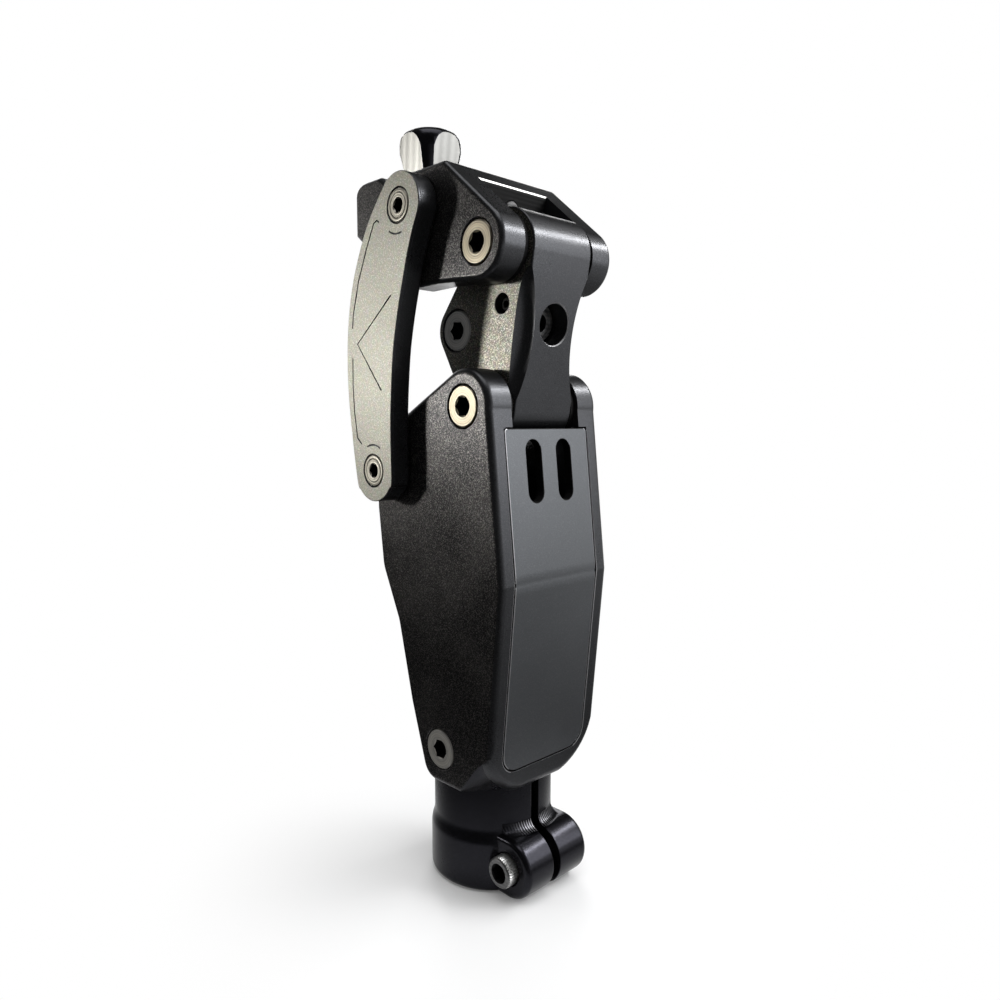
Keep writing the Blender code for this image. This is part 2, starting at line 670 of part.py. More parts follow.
pin_end = REAR_LINK_HALF - MID_BOLT_DEEP - FIT
finish(rod_x("rod_pin", ROD_PIN, -pin_end, pin_end, ROD_PIN_RADIUS, 0.0003, 24), BRIGHT, REAR_LOW)
for label, side in SIDES:
    flush_bolt("mid_bolt_" + label, ROD_PIN, side, REAR_LINK_HALF, BOLT_RADIUS, MID_BOLT_DEEP, HEX_HALF,
               DARK_STEEL, REAR_LOW)
    flush_bolt("set_screw_" + label, SET_SCREW, side, REAR_LINK_HALF - 0.0016, 0.0020, 0.0036, 0.0010,
               DARK_STEEL, REAR_LOW)

# Head: two cheeks joined by a web that carries the pyramid
head_boss = arc(REAR_TOP, HEAD_BOSS, -88.0, 90.0 - REAR_SLOPE, 12)
head_low = REAR_TOP[1] - HEAD_BOSS
tail = head_boss[-1]
ridge_y = tail[0] - (HEAD_TOP - tail[1]) / math.tan(math.radians(REAR_SLOPE))
head_front = rounded([(REAR_TOP[0], REAR_TOP[1], 0.0), (tail[0], tail[1], 0.0),
                      (ridge_y, HEAD_TOP, 0.0024),
                      (HEAD_FRONT, HEAD_TOP, 0.0036),
                      (HEAD_FRONT, 0.1795, 0.0040),
                      (-0.0345, 0.1720, 0.0040),
                      (-0.0125, 0.1543, 0.0060),
                      (0.0, head_low + 0.0012, 0.0), (0.0100, head_low, 0.0)])
head_front = head_front[2:]
head_outline = thin(head_boss + head_front, 0.0004)
head = side_shape("head_block", head_outline, -SIDE_PLANE, SIDE_PLANE, HEAD_EDGE)
plan_half = SIDE_PLANE + 0.0010
plan = prism("head plan", rounded([(-plan_half, 0.0600, 0.0), (-plan_half, HEAD_FRONT, 0.0080),
                                   (plan_half, HEAD_FRONT, 0.0080), (plan_half, 0.0600, 0.0)], 6),
             0.1300, 0.2200, "Z")
keep_inside(head, plan)
WEB_TOP_Y = 0.0092
web_top_z = tail[1] + (tail[0] - WEB_TOP_Y) * math.tan(math.radians(REAR_SLOPE))
head_slot = side_shape("head slot",
                       [(0.0500, 0.1300), (0.0500, 0.2200), (WEB_TOP_Y, 0.2200),
                        (WEB_TOP_Y, web_top_z - 0.0014), (0.0050, 0.1672), (0.0020, 0.1664),
                        (-0.0230, 0.1670), (-0.0260, 0.1690), (-0.0260, 0.1300)],
                       -CHEEK_INNER, CHEEK_INNER)
cut(head, head_slot)
cut(head, rod_x("upper axle bore", REAR_TOP, -0.0300, 0.0300, AXLE_RADIUS + FIT))
cut(head, rod_x("front upper bore", FRONT_TOP, -0.0300, 0.0300, PIN_RADIUS + FIT))
for label, side in SIDES:
    x0, x1 = sorted((side * (SIDE_PLANE - BOLT_DEEP - FIT), side * 0.0300))
    cut(head, rod_x("upper bolt seat " + label, REAR_TOP, x0, x1, BOLT_RADIUS + FIT, 0.0, 28))
spigot_hole = turned("pyramid spigot hole",
                     [(0.0, 0.1500), (0.0058, 0.1500), (0.0058, HEAD_TOP - 0.0110),
                      (0.0036, HEAD_TOP - 0.0110), (0.0036, HEAD_TOP - 0.0050),
                      (0.0063, HEAD_TOP - 0.0050), (0.0063, HEAD_TOP + 0.0050),
                      (0.0, HEAD_TOP + 0.0050)], (0.0, PYRAMID_Y, 0.0), AXIS_Z, 28)
cut(head, spigot_hole)
wall_dir = Vector((0.0, web_top_z - 0.0014 - 0.1672, -(WEB_TOP_Y - 0.0050))).normalized()
WALL_SCREW = Vector((0.0, WEB_TOP_Y, web_top_z - 0.0014)).lerp(Vector((0.0, 0.0050, 0.1672)), 0.34)
cut(head, turned("wall screw hole", [(0.0, -0.0060), (0.0031, -0.0060), (0.0031, 0.0050), (0.0, 0.0050)],
                 WALL_SCREW, wall_dir, 20))
contact_dir = Vector((0.0, ROD_PIN[1] - REAR_TOP[1], -(ROD_PIN[0] - REAR_TOP[0]))).normalized()
lean = math.asin((LINK_TOP_RADIUS - ROD_BOSS_RADIUS) / math.dist(REAR_TOP, ROD_PIN))
contact_dir = Matrix.Rotation(lean, 3, "X") @ contact_dir
if contact_dir.z < 0.0:
    contact_dir = -contact_dir
along = Vector((0.0, contact_dir.z, -contact_dir.y))
if along.z > 0.0:
    along = -along
BUMPER = Vector((0.0, REAR_TOP[0], REAR_TOP[1])) + contact_dir * LINK_TOP_RADIUS + along * 0.0075
cut(head, turned("bumper hole", [(0.0, 0.0003), (0.0028, 0.0003), (0.0028, 0.0063), (0.0, 0.0063)],
                 BUMPER, contact_dir, 20))
finish(head, BLAST, REAR_TOP)

bumper = turned("extension_bumper", [(0.0, 0.0004), (0.0021, 0.0004), (0.0025, 0.0008), (0.0025, 0.0060),
                                     (0.0, 0.0060)], BUMPER, contact_dir, 20)
finish(bumper, RUBBER, REAR_TOP)

wall_screw = turned("wall_screw", [(0.0, -0.0057), (0.0028, -0.0057), (0.0028, 0.0002), (0.0024, 0.0006),
                                   (0.0, 0.0006)], WALL_SCREW, wall_dir, 20)
wall_socket = turned("wall screw socket",
                     [(0.0, -0.0016), (0.0013, -0.0016), (0.0013, 0.0040), (0.0, 0.0040)],
                     WALL_SCREW, wall_dir, 6)
cut(wall_screw, wall_socket)
finish(wall_screw, DARK_STEEL, REAR_TOP)

# Pyramid: turned body with four leaning flats, its spigot let into the head
base = HEAD_TOP + FIT
pyramid = turned("pyramid",
                 [(0.0, HEAD_TOP - 0.0047), (0.0060, HEAD_TOP - 0.0047), (0.0060, base), (0.0128, base),
                  (0.0128, base + 0.0012), (0.0116, base + 0.0022), (0.0084, base + 0.0032),
                  (0.0080, base + 0.0044), (PYRAMID_RADIUS, PYRAMID_TOP - 0.0066),
                  (PYRAMID_RADIUS, PYRAMID_TOP - 0.0042),
                  (0.0060, PYRAMID_TOP), (0.0, PYRAMID_TOP)],
                 (0.0, PYRAMID_Y, 0.0), AXIS_Z, 40)
for i in range(4):
    a = math.radians(90.0 * i)
    out = Vector((math.cos(a), math.sin(a), 0.0))
    lean_out = Matrix.Rotation(math.radians(-12.0), 3, Vector((-out.y, out.x, 0.0))) @ out
    if lean_out.z > 0.0:
        lean_out = Matrix.Rotation(math.radians(12.0), 3, Vector((-out.y, out.x, 0.0))) @ out
    across = Vector((-out.y, out.x, 0.0))
    rise = lean_out.cross(across)
    if rise.z < 0.0:
        rise = -rise
    corner = Vector((0.0, PYRAMID_Y, base + 0.0040)) + out * FLAT_OUT
    verts = []
    for depth in (0.0, 0.0100):
        for u, v in ((-0.0120, -0.0006), (0.0120, -0.0006), (0.0120, 0.0220), (-0.0120, 0.0220)):
            verts.append(corner + lean_out * depth + across * u + rise * v)
    faces = [(0, 1, 2, 3), (7, 6, 5, 4), (0, 1, 5, 4), (1, 2, 6, 5), (2, 3, 7, 6), (3, 0, 4, 7)]
    cut(pyramid, mesh_object("pyramid flat " + str(i), verts, faces))
finish(pyramid, BRIGHT, REAR_TOP)

pyramid_bolt = turned("pyramid_bolt",
                      [(0.0, HEAD_TOP - 0.0160), (0.0050, HEAD_TOP - 0.0160), (0.0055, HEAD_TOP - 0.0155),
                       (0.0055, HEAD_TOP - 0.0113), (0.0033, HEAD_TOP - 0.0113), (0.0033, HEAD_TOP - 0.0053),
                       (0.0, HEAD_TOP - 0.0053)], (0.0, PYRAMID_Y, 0.0), AXIS_Z, 24)
cut(pyramid_bolt, turned("pyramid bolt socket",
                         [(0.0, HEAD_TOP - 0.0200), (0.0029, HEAD_TOP - 0.0200), (0.0029, HEAD_TOP - 0.0130),
                          (0.0, HEAD_TOP - 0.0130)], (0.0, PYRAMID_Y, 0.0), AXIS_Z, 6))
finish(pyramid_bolt, DARK_STEEL, REAR_TOP)

# Upper rear pivot, held by the head
finish(rod_x("upper_rear_axle", REAR_TOP, -axle_end, axle_end, AXLE_RADIUS, 0.0004), BRIGHT, REAR_TOP)
for label, side in SIDES:
    flush_bolt("upper_rear_bolt_" + label, REAR_TOP, side, SIDE_PLANE, BOLT_RADIUS, BOLT_DEEP, HEX_HALF,
               STEEL, REAR_TOP)
    x0, x1 = sorted((side * (REAR_LINK_HALF + FIT), side * (CHEEK_INNER - FIT)))
    washer = ring_x("upper_washer_" + label, REAR_TOP, x0, x1, WASHER_RADIUS, AXLE_RADIUS + FIT, 0.0, 28)
    finish(washer, BRIGHT, REAR_TOP)
finish(rod_x("front_upper_axle", FRONT_TOP, -SIDE_PLANE + FIT, SIDE_PLANE - FIT, PIN_RADIUS, 0.0004),
       BRIGHT, REAR_TOP)


# Side links: crescent plates outside the knee, a black plate under a silver face
def smooth_outline(points, steps):
    """Closed smooth curve through the given points."""
    made = []
    count = len(points)
    for i in range(count):
        p0 = Vector(points[i - 1])
        p1 = Vector(points[i])
        p2 = Vector(points[(i + 1) % count])
        p3 = Vector(points[(i + 2) % count])
        for k in range(steps):
            t = k / steps
            q = 0.5 * ((2.0 * p1) + (p2 - p0) * t + (2.0 * p0 - 5.0 * p1 + 4.0 * p2 - p3) * t * t
                       + (3.0 * p1 - p0 - 3.0 * p2 + p3) * t * t * t)
            made.append((q.x, q.y))
    return made


LINK_END = 0.0094
crescent = arc(FRONT_LOW, LINK_END, 205.0, 345.0, 8)
crescent += [(-0.0113, 0.1150), (-0.0099, 0.1330), (-0.0077, 0.1445), (-0.0044, 0.1560), (-0.0010, 0.1660)]
crescent += arc(FRONT_TOP, LINK_END, -15.0, 135.0, 8)
crescent += [(-0.0222, 0.1722), (-0.0294, 0.1578), (-0.0328, 0.1430), (-0.0332, 0.1260), (-0.0313, 0.1100)]
crescent = thin(smooth_outline(crescent, 2), 0.0012)
INNER_FACE = SIDE_PLANE + LINK_GAP
JOIN_FACE = INNER_FACE + LINK_PLATE
OUTER_FACE = JOIN_FACE + FIT + FACE_PLATE
PIN_REACH = CHEEK_INNER + 0.0012


def groove(name, points, half, side):
    """Shallow engraved line along side-view points, in the outer face of a side link."""
    left = []
    right = []
    for i in range(len(points)):
        a = Vector(points[max(0, i - 1)])
        b = Vector(points[min(len(points) - 1, i + 1)])
        run = (b - a).normalized()
        across = Vector((-run.y, run.x)) * half
        here = Vector(points[i])
        left.append((here + across)[:])
        right.append((here - across)[:])
    x0, x1 = sorted((side * (OUTER_FACE - 0.0004), side * (OUTER_FACE + 0.0020)))
    return side_shape(name, left + right[::-1], x0, x1)


for label, side in SIDES:
    x0, x1 = sorted((side * INNER_FACE, side * JOIN_FACE))
    plate = side_shape("side_link_" + label, crescent, x0, x1, 0.0008, 2)
    face_x0, face_x1 = sorted((side * (JOIN_FACE + FIT), side * OUTER_FACE))
    face = side_shape("face_plate_" + label, grow(crescent, [-FIT] * len(crescent)), face_x0, face_x1,
                      0.0004, 1)
    for spot, pivot in (("upper", FRONT_TOP), ("lower", FRONT_LOW)):
        seat = turned("link bolt seat " + spot + " " + label,
                      [(0.0, 0.0100), (PIN_RADIUS + FIT, 0.0100), (PIN_RADIUS + FIT, OUTER_FACE - 0.0022),
                       (LINK_BOLT_RADIUS + FIT, OUTER_FACE - 0.0009), (LINK_BOLT_RADIUS + FIT, 0.0400),
                       (0.0, 0.0400)], (0.0, pivot[0], pivot[1]), (side, 0.0, 0.0), 24)
        cut(plate, seat)
        cut(face, seat)
        start = PIN_REACH if spot == "lower" else INNER_FACE + 0.0001
        bolt = turned("link_bolt_" + spot + "_" + label,
                      [(0.0, start), (PIN_RADIUS - 0.0003, start), (PIN_RADIUS, start + 0.0003),
                       (PIN_RADIUS, OUTER_FACE - 0.0021), (LINK_BOLT_RADIUS, OUTER_FACE - 0.0009),
                       (LINK_BOLT_RADIUS, OUTER_FACE - 0.0003), (LINK_BOLT_RADIUS - 0.0003, OUTER_FACE),
                       (0.0, OUTER_FACE)], (0.0, pivot[0], pivot[1]), (side, 0.0, 0.0), 24)
        low, high = sorted((side * (OUTER_FACE - 0.0026), side * (OUTER_FACE + 0.0020)))
        cut(bolt, hexagon("link bolt socket " + spot + " " + label, pivot, low, high, 0.0019))
        finish(bolt, STEEL, FRONT_LOW)
    lines = {"upper": [(-0.0156, 0.1728), (-0.0168, 0.1735), (-0.0182, 0.1729), (-0.0220, 0.1664),
                       (-0.0266, 0.1571), (-0.0296, 0.1475), (-0.0301, 0.1435)],
             "lower": [(-0.0302, 0.1345), (-0.0304, 0.1265), (-0.0298, 0.1180), (-0.0284, 0.1100),
                       (-0.0262, 0.1082)],
             "chevron": [(-0.0104, 0.1514), (-0.0276, 0.1386), (-0.0156, 0.1242)],
             "arc top": arc(FRONT_TOP, 0.0078, 236.0, 282.0, 5),
             "arc low": arc(FRONT_LOW, 0.0078, 62.0, 112.0, 5)}
    for spot in lines:
        cut(face, groove("groove " + spot + " " + label, lines[spot], 0.00028, side))
    finish(plate, BLACK, FRONT_LOW)
    finish(face, SILVER, FRONT_LOW)

# Pneumatic cylinder: barrel with its eye, gland and piston, rod and rod end
run_rest = cylinder_line(0.0)
rod_length = math.dist(ROD_PIN, CYLINDER_FOOT)
barrel = turned("cylinder_barrel",
                [(0.0, 0.0085), (BARREL_OUTER - 0.0008, 0.0085), (BARREL_OUTER, 0.0093),
                 (BARREL_OUTER, BARREL_LENGTH), (BARREL_BORE, BARREL_LENGTH), (BARREL_BORE, 0.0130),
                 (0.0, 0.0130)], FOOT, run_rest, 32)
eye = side_shape("barrel eye",
                 hull(arc(CYLINDER_FOOT, EYE_RADIUS, 0.0, 345.0, 23)
                      + [(CYLINDER_FOOT[0] - 0.0070, CYLINDER_FOOT[1] + 0.0095),
                         (CYLINDER_FOOT[0] + 0.0066, CYLINDER_FOOT[1] + 0.0097)]),
                 -EYE_HALF, EYE_HALF, 0.0006, 1)
add(barrel, eye)
cut(barrel, rod_x("barrel eye bore", CYLINDER_FOOT, -0.0200, 0.0200, PIN_RADIUS + FIT))
finish(barrel, BLACK, CYLINDER_FOOT)

gland = turned("cylinder_gland",
               [(ROD_RADIUS + FIT, BARREL_LENGTH - 0.0050), (BARREL_BORE - FIT, BARREL_LENGTH - 0.0050),
                (BARREL_BORE - FIT, BARREL_LENGTH + FIT), (BARREL_OUTER - 0.0010, BARREL_LENGTH + FIT),
                (BARREL_OUTER - 0.0010, BARREL_LENGTH + GLAND_HIGH - 0.0010),
                (BARREL_OUTER - 0.0020, BARREL_LENGTH + GLAND_HIGH),
                (ROD_RADIUS + FIT, BARREL_LENGTH + GLAND_HIGH)], FOOT, run_rest, 28, True)
finish(gland, SATIN, CYLINDER_FOOT)

piston = turned("piston",
                [(ROD_RADIUS + FIT, PISTON_LOW), (BARREL_BORE - 2.0 * FIT, PISTON_LOW),
                 (BARREL_BORE - 2.0 * FIT, PISTON_LOW + PISTON_HIGH * 0.36),
                 (BARREL_BORE - 0.0018, PISTON_LOW + PISTON_HIGH * 0.36),
                 (BARREL_BORE - 0.0018, PISTON_LOW + PISTON_HIGH * 0.64),
                 (BARREL_BORE - 2.0 * FIT, PISTON_LOW + PISTON_HIGH * 0.64),
                 (BARREL_BORE - 2.0 * FIT, PISTON_LOW + PISTON_HIGH),
                 (ROD_RADIUS + FIT, PISTON_LOW + PISTON_HIGH)],
                FOOT, run_rest, 28, True)
finish(piston, SATIN, ROD_PIN)
seal = turned("piston_seal",
              [(BARREL_BORE - 0.0015, PISTON_LOW + PISTON_HIGH * 0.36 + FIT),
               (BARREL_BORE - FIT, PISTON_LOW + PISTON_HIGH * 0.36 + FIT),
               (BARREL_BORE - FIT, PISTON_LOW + PISTON_HIGH * 0.64 - FIT),
               (BARREL_BORE - 0.0015, PISTON_LOW + PISTON_HIGH * 0.64 - FIT)], FOOT, run_rest, 28, True)
finish(seal, RUBBER, ROD_PIN)

rod_top = rod_length - ROD_EYE_RADIUS - 0.0045
rod = turned("piston_rod",
             [(0.0, PISTON_LOW - 0.0030), (ROD_RADIUS - 0.0006, PISTON_LOW - 0.0030),
              (ROD_RADIUS, PISTON_LOW - 0.0024), (ROD_RADIUS, rod_top - 0.0004),
              (ROD_RADIUS - 0.0004, rod_top),
              (0.0, rod_top)], FOOT, run_rest, 24)
finish(rod, CHROME, ROD_PIN)

rod_end = side_shape("rod_end", arc(ROD_PIN, ROD_EYE_RADIUS, 0.0, 345.0, 23), -ROD_EYE_HALF, ROD_EYE_HALF,
                     0.0006, 1)
shank = turned("rod end shank",
               [(0.0, rod_top + FIT), (0.0041, rod_top + FIT), (0.0043, rod_top + 0.0010),
                (0.0043, rod_length - 0.0050), (0.0, rod_length - 0.0050)], FOOT, run_rest, 24)
add(rod_end, shank)
cut(rod_end, rod_x("rod end bore", ROD_PIN, -0.0200, 0.0200, ROD_PIN_RADIUS + ROD_PLAY, 0.0, 28))
finish(rod_end, SATIN, ROD_PIN)
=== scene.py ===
"""Looks for a four-bar pneumatic prosthetic knee joint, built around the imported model."""
import math

import bmesh
import bpy
from mathutils import Matrix, Vector


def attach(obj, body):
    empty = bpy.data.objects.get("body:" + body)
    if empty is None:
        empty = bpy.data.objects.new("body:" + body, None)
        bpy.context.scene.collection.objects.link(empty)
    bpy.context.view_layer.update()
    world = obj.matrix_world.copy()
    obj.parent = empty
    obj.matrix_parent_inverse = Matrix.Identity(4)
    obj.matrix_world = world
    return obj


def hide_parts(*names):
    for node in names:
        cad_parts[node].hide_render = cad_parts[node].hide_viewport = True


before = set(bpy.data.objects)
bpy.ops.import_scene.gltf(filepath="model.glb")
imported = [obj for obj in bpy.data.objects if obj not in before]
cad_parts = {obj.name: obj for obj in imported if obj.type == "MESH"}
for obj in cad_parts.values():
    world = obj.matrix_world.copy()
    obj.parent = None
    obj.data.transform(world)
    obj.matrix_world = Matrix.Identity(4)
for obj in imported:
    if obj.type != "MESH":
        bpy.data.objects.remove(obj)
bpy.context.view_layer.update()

# Camera: a close view of the knee from behind and to one side, a little above its
# middle, as the photograph shows it.
camera = bpy.data.objects.new("camera", bpy.data.cameras.new("camera"))
bpy.context.scene.collection.objects.link(camera)
bpy.context.scene.camera = camera
view_back = Vector((0.6950, 0.7124, 0.0978)).normalized()
view_right = Vector((-0.7158, 0.6983, 0.0)).normalized()
view_up = view_back.cross(view_right)
camera.rotation_mode = "QUATERNION"
camera.rotation_quaternion = Matrix((view_right, view_up, view_back)).transposed().to_quaternion()
camera.location = Vector((0.0230, 0.0269, 0.0940)) + view_back * 0.214
camera.data.sensor_width = 36.0
camera.data.lens = 28.57
camera.data.clip_start = 0.005
bpy.context.scene.view_settings.view_transform = "Standard"


# Floor and lights: a white sheet under the clamp, one small gridded key light low at the
# front side, four large soft lights (rear, front, strip and top) and a weak white surround.
class Wire:
    """A socket of a material; sums on it add the Math nodes that work them out."""

    def __init__(self, tree, socket=None):
        self.tree = tree
        self.socket = socket

    def node(self, kind, settings=None, sockets=None, out=0):
        made = self.tree.nodes.new(kind)
        for name, value in (settings or {}).items():
            setattr(made, name, value)
        for name, value in (sockets or {}).items():
            if isinstance(value, Wire):
                self.tree.links.new(value.socket, made.inputs[name])
            elif isinstance(value, tuple) and len(value) == 3 and made.inputs[name].type == "RGBA":
                made.inputs[name].default_value = (value[0], value[1], value[2], 1.0)
            else:
                made.inputs[name].default_value = value
        return Wire(self.tree, made.outputs[out])

    def sum(self, operation, first, second=0.0):
        return self.node("ShaderNodeMath", {"operation": operation}, {0: first, 1: second})

    def __add__(self, other):
        return self.sum("ADD", self, other)

    def __radd__(self, other):
        return self.sum("ADD", other, self)

    def __sub__(self, other):
        return self.sum("SUBTRACT", self, other)

    def __rsub__(self, other):
        return self.sum("SUBTRACT", other, self)

    def __mul__(self, other):
        return self.sum("MULTIPLY", self, other)

    def most(self, other):
        return self.sum("MAXIMUM", self, other)

    def between(self, low, high):
        """0 below low, 1 above high and a smooth rise from one to the other."""
        return self.node("ShaderNodeMapRange", {"interpolation_type": "SMOOTHSTEP"},
                         {"Value": self, "From Min": low, "From Max": high})


def spread(wires, mask, first, second):
    """Colour that goes from the first to the second as the mask goes from 0 to 1."""
    return wires.node("ShaderNodeMix", {"data_type": "RGBA"}, {"Factor": mask, 6: first, 7: second}, 2)


def new_material(name):
    mat = bpy.data.materials.new(name)
    mat.use_nodes = True
    return mat, mat.node_tree.nodes["Principled BSDF"], Wire(mat.node_tree)


def link(wire, node, socket):
    wire.tree.links.new(wire.socket, node.inputs[socket])


world = bpy.data.worlds.new("studio")
bpy.context.scene.world = world
world.use_nodes = True
air = Wire(world.node_tree)
background = world.node_tree.nodes["Background"]
ray = world.node_tree.nodes.new("ShaderNodeLightPath")
camera_ray = Wire(world.node_tree, ray.outputs["Is Camera Ray"])
glossy_ray = Wire(world.node_tree, ray.outputs["Is Glossy Ray"]).most(
    Wire(world.node_tree, ray.outputs["Is Transmission Ray"]))
aim = air.node("ShaderNodeTexCoord", None, None, 0)
# Shiny faces mirror a bright sweep behind the knee's far side and a weak glow in front of it.
towards = air.node("ShaderNodeVectorMath", {"operation": "DOT_PRODUCT"},
                   {0: aim, 1: (-0.62, 0.70, 0.35)}, 1)
front_glow = air.node("ShaderNodeVectorMath", {"operation": "DOT_PRODUCT"},
                      {0: aim, 1: (0.0, -0.95, 0.30)}, 1).between(0.75, 0.98)
sweep = towards.between(0.52, 0.92) * 1.05 + front_glow * 0.55 + 0.04
strength = camera_ray.most(glossy_ray * sweep).most((1.0 - glossy_ray) * 0.42)
link(strength, background, "Strength")
background.inputs["Color"].default_value = (1.0, 1.0, 1.0, 1.0)

floor_mesh = bpy.data.meshes.new("floor")
sheet = bmesh.new()
bmesh.ops.create_grid(sheet, x_segments=2, y_segments=2, size=3.0)
bmesh.ops.translate(sheet, verts=sheet.verts, vec=(0.0, 0.0, -0.0279))
sheet.to_mesh(floor_mesh)
sheet.free()
floor = bpy.data.objects.new("floor", floor_mesh)
bpy.context.scene.collection.objects.link(floor)
floor_mat, floor_shader, wires = new_material("white floor")
floor_shader.inputs["Base Color"].default_value = (0.95, 0.95, 0.95, 1.0)
floor_shader.inputs["Roughness"].default_value = 0.7
spot = wires.node("ShaderNodeTexCoord", None, None, 3)
away = wires.node("ShaderNodeVectorMath", {"operation": "LENGTH"}, {0: spot}, 1)
fade = away.between(0.02, 0.11)
floor_ray = floor_mat.node_tree.nodes.new("ShaderNodeLightPath")
# To glossy rays, the floor away from the knee glows, brighter towards the knee's far side: a painted
# reflection for the metal to mirror.
side_on = wires.node("ShaderNodeVectorMath", {"operation": "DOT_PRODUCT"},
                     {0: spot, 1: (-0.62, 0.70, 0.0)}, 1)
mirrored = (side_on.between(-0.05, 0.50) * 0.80 + 0.03).most(
    Wire(floor_mat.node_tree, floor_ray.outputs["Is Camera Ray"]))
shine = spread(wires, mirrored, (0.0, 0.0, 0.0), (1.0, 1.0, 1.0))
glow = wires.node("ShaderNodeEmission", None, {"Color": shine, "Strength": 1.0})
seen = Wire(floor_mat.node_tree, floor_ray.outputs["Is Camera Ray"]).most(
    Wire(floor_mat.node_tree, floor_ray.outputs["Is Glossy Ray"]))
mixed = wires.node("ShaderNodeMixShader", None,
                   {0: seen * fade, 1: Wire(floor_mat.node_tree, floor_shader.outputs[0]), 2: glow})
link(mixed, floor_mat.node_tree.nodes["Material Output"], "Surface")
floor.data.materials.append(floor_mat)


def lamp(name, place, target, wide, high, power, colour, spread_angle=180.0):
    """Soft rectangular light that faces a target, its beam narrowed to an angle by a grid."""
    data = bpy.data.lights.new(name, "AREA")
    data.shape = "RECTANGLE"
    data.size = wide
    data.size_y = high
    data.energy = power
    data.color = colour
    data.spread = math.radians(spread_angle)
    made = bpy.data.objects.new(name, data)
    bpy.context.scene.collection.objects.link(made)
    made.location = place
    made.rotation_mode = "QUATERNION"
    made.rotation_quaternion = (Vector(target) - Vector(place)).to_track_quat("-Z", "Y")


middle = Vector((0.010, 0.0, 0.150))
lamp("key", middle + Vector((0.735, -0.678, 0.087)) * 0.46 - Vector((0.0, 0.0, 0.030)),
     middle - Vector((0.0, 0.0, 0.012)), 0.045, 0.060, 0.054, (1.0, 0.98, 0.94), 44.0)
lamp("rear_soft", (-0.42, 0.55, 0.42), (0.0, 0.0, 0.12), 0.35, 0.60, 2.4, (0.97, 0.98, 1.0))
lamp("front_soft", (-0.45, -0.50, 0.30), (0.0, 0.0, 0.12), 0.35, 0.50, 2.0, (1.0, 1.0, 1.0))
lamp("strip_soft", (-0.49, 0.31, 0.52), (0.0, 0.015, 0.12), 0.50, 0.05, 2.4, (1.0, 1.0, 1.0))
lamp("top_soft", (0.10, 0.10, 0.75), (0.0, 0.0, 0.12), 0.45, 0.45, 1.7, (1.0, 1.0, 1.0))


# Finishes of the machined aluminium: bead-blasted sides, satin milled backs, a glossy
# clamp and bare silver plates, each with the fine grain that the blasting leaves.
def blasted(name, dark, light, rough, metal, grain, bump, warm=0.0):
    """Anodised aluminium with a fine blasted grain and faint handling marks."""
    mat, shader, w = new_material(name)
    place = w.node("ShaderNodeTexCoord", None, None, 3)
    fine = w.node("ShaderNodeTexNoise", None, {"Vector": place, "Scale": grain, "Detail": 3.0,
                                              "Roughness": 0.65})
    sparkle = w.node("ShaderNodeTexNoise", None, {"Vector": place, "Scale": grain * 0.47, "Detail": 2.0,
                                                 "Roughness": 0.6})
    cloud = w.node("ShaderNodeTexNoise", None, {"Vector": place, "Scale": 38.0, "Detail": 3.0})
    speck = fine.between(0.46, 0.70)
    patch = cloud.between(0.35, 0.70)
    colour = spread(w, speck * 0.88 + patch * 0.12, dark, light)
    if warm > 0.0:
        tint = w.node("ShaderNodeTexNoise", None, {"Vector": place, "Scale": grain * 0.30, "Detail": 1.0}, 1)
        colour = w.node("ShaderNodeMix", {"data_type": "RGBA", "blend_type": "OVERLAY"},
                        {"Factor": warm, 6: colour, 7: tint}, 2)
    link(colour, shader, "Base Color")
    link(rough + (sparkle - 0.5) * 0.16 + (patch - 0.5) * 0.05, shader, "Roughness")
    shader.inputs["Metallic"].default_value = metal
    pits = w.node("ShaderNodeBump", None, {"Strength": bump, "Distance": 0.00006,
                                          "Height": fine * 0.6 + sparkle * 0.4})
    link(pits, shader, "Normal")
    return mat


BLASTED = blasted("bead_blasted_black", (0.012, 0.012, 0.013), (0.165, 0.158, 0.153), 0.37, 0.9, 2900.0, 0.60,
                  0.06)
SATIN = blasted("satin_black", (0.040, 0.041, 0.044), (0.070, 0.071, 0.076), 0.31, 0.9, 3600.0, 0.22)
COVER = blasted("satin_dark_grey", (0.088, 0.092, 0.098), (0.120, 0.125, 0.132), 0.40, 0.9, 3600.0, 0.25)
GLOSS = blasted("glossy_black", (0.018, 0.018, 0.022), (0.030, 0.030, 0.036), 0.24, 0.9, 3000.0, 0.08)
SILVER = blasted("blasted_silver", (0.25, 0.247, 0.215), (0.50, 0.495, 0.44), 0.54, 0.9, 2400.0, 0.55, 0.12)
# A brighter copy of the blasted finish for the rear link's sides: painted key light.
LIT_FACE = blasted("blasted_painted_key_light", (0.07, 0.068, 0.058), (0.36, 0.35, 0.30), 0.44, 0.9, 2400.0, 0.70, 0.20)


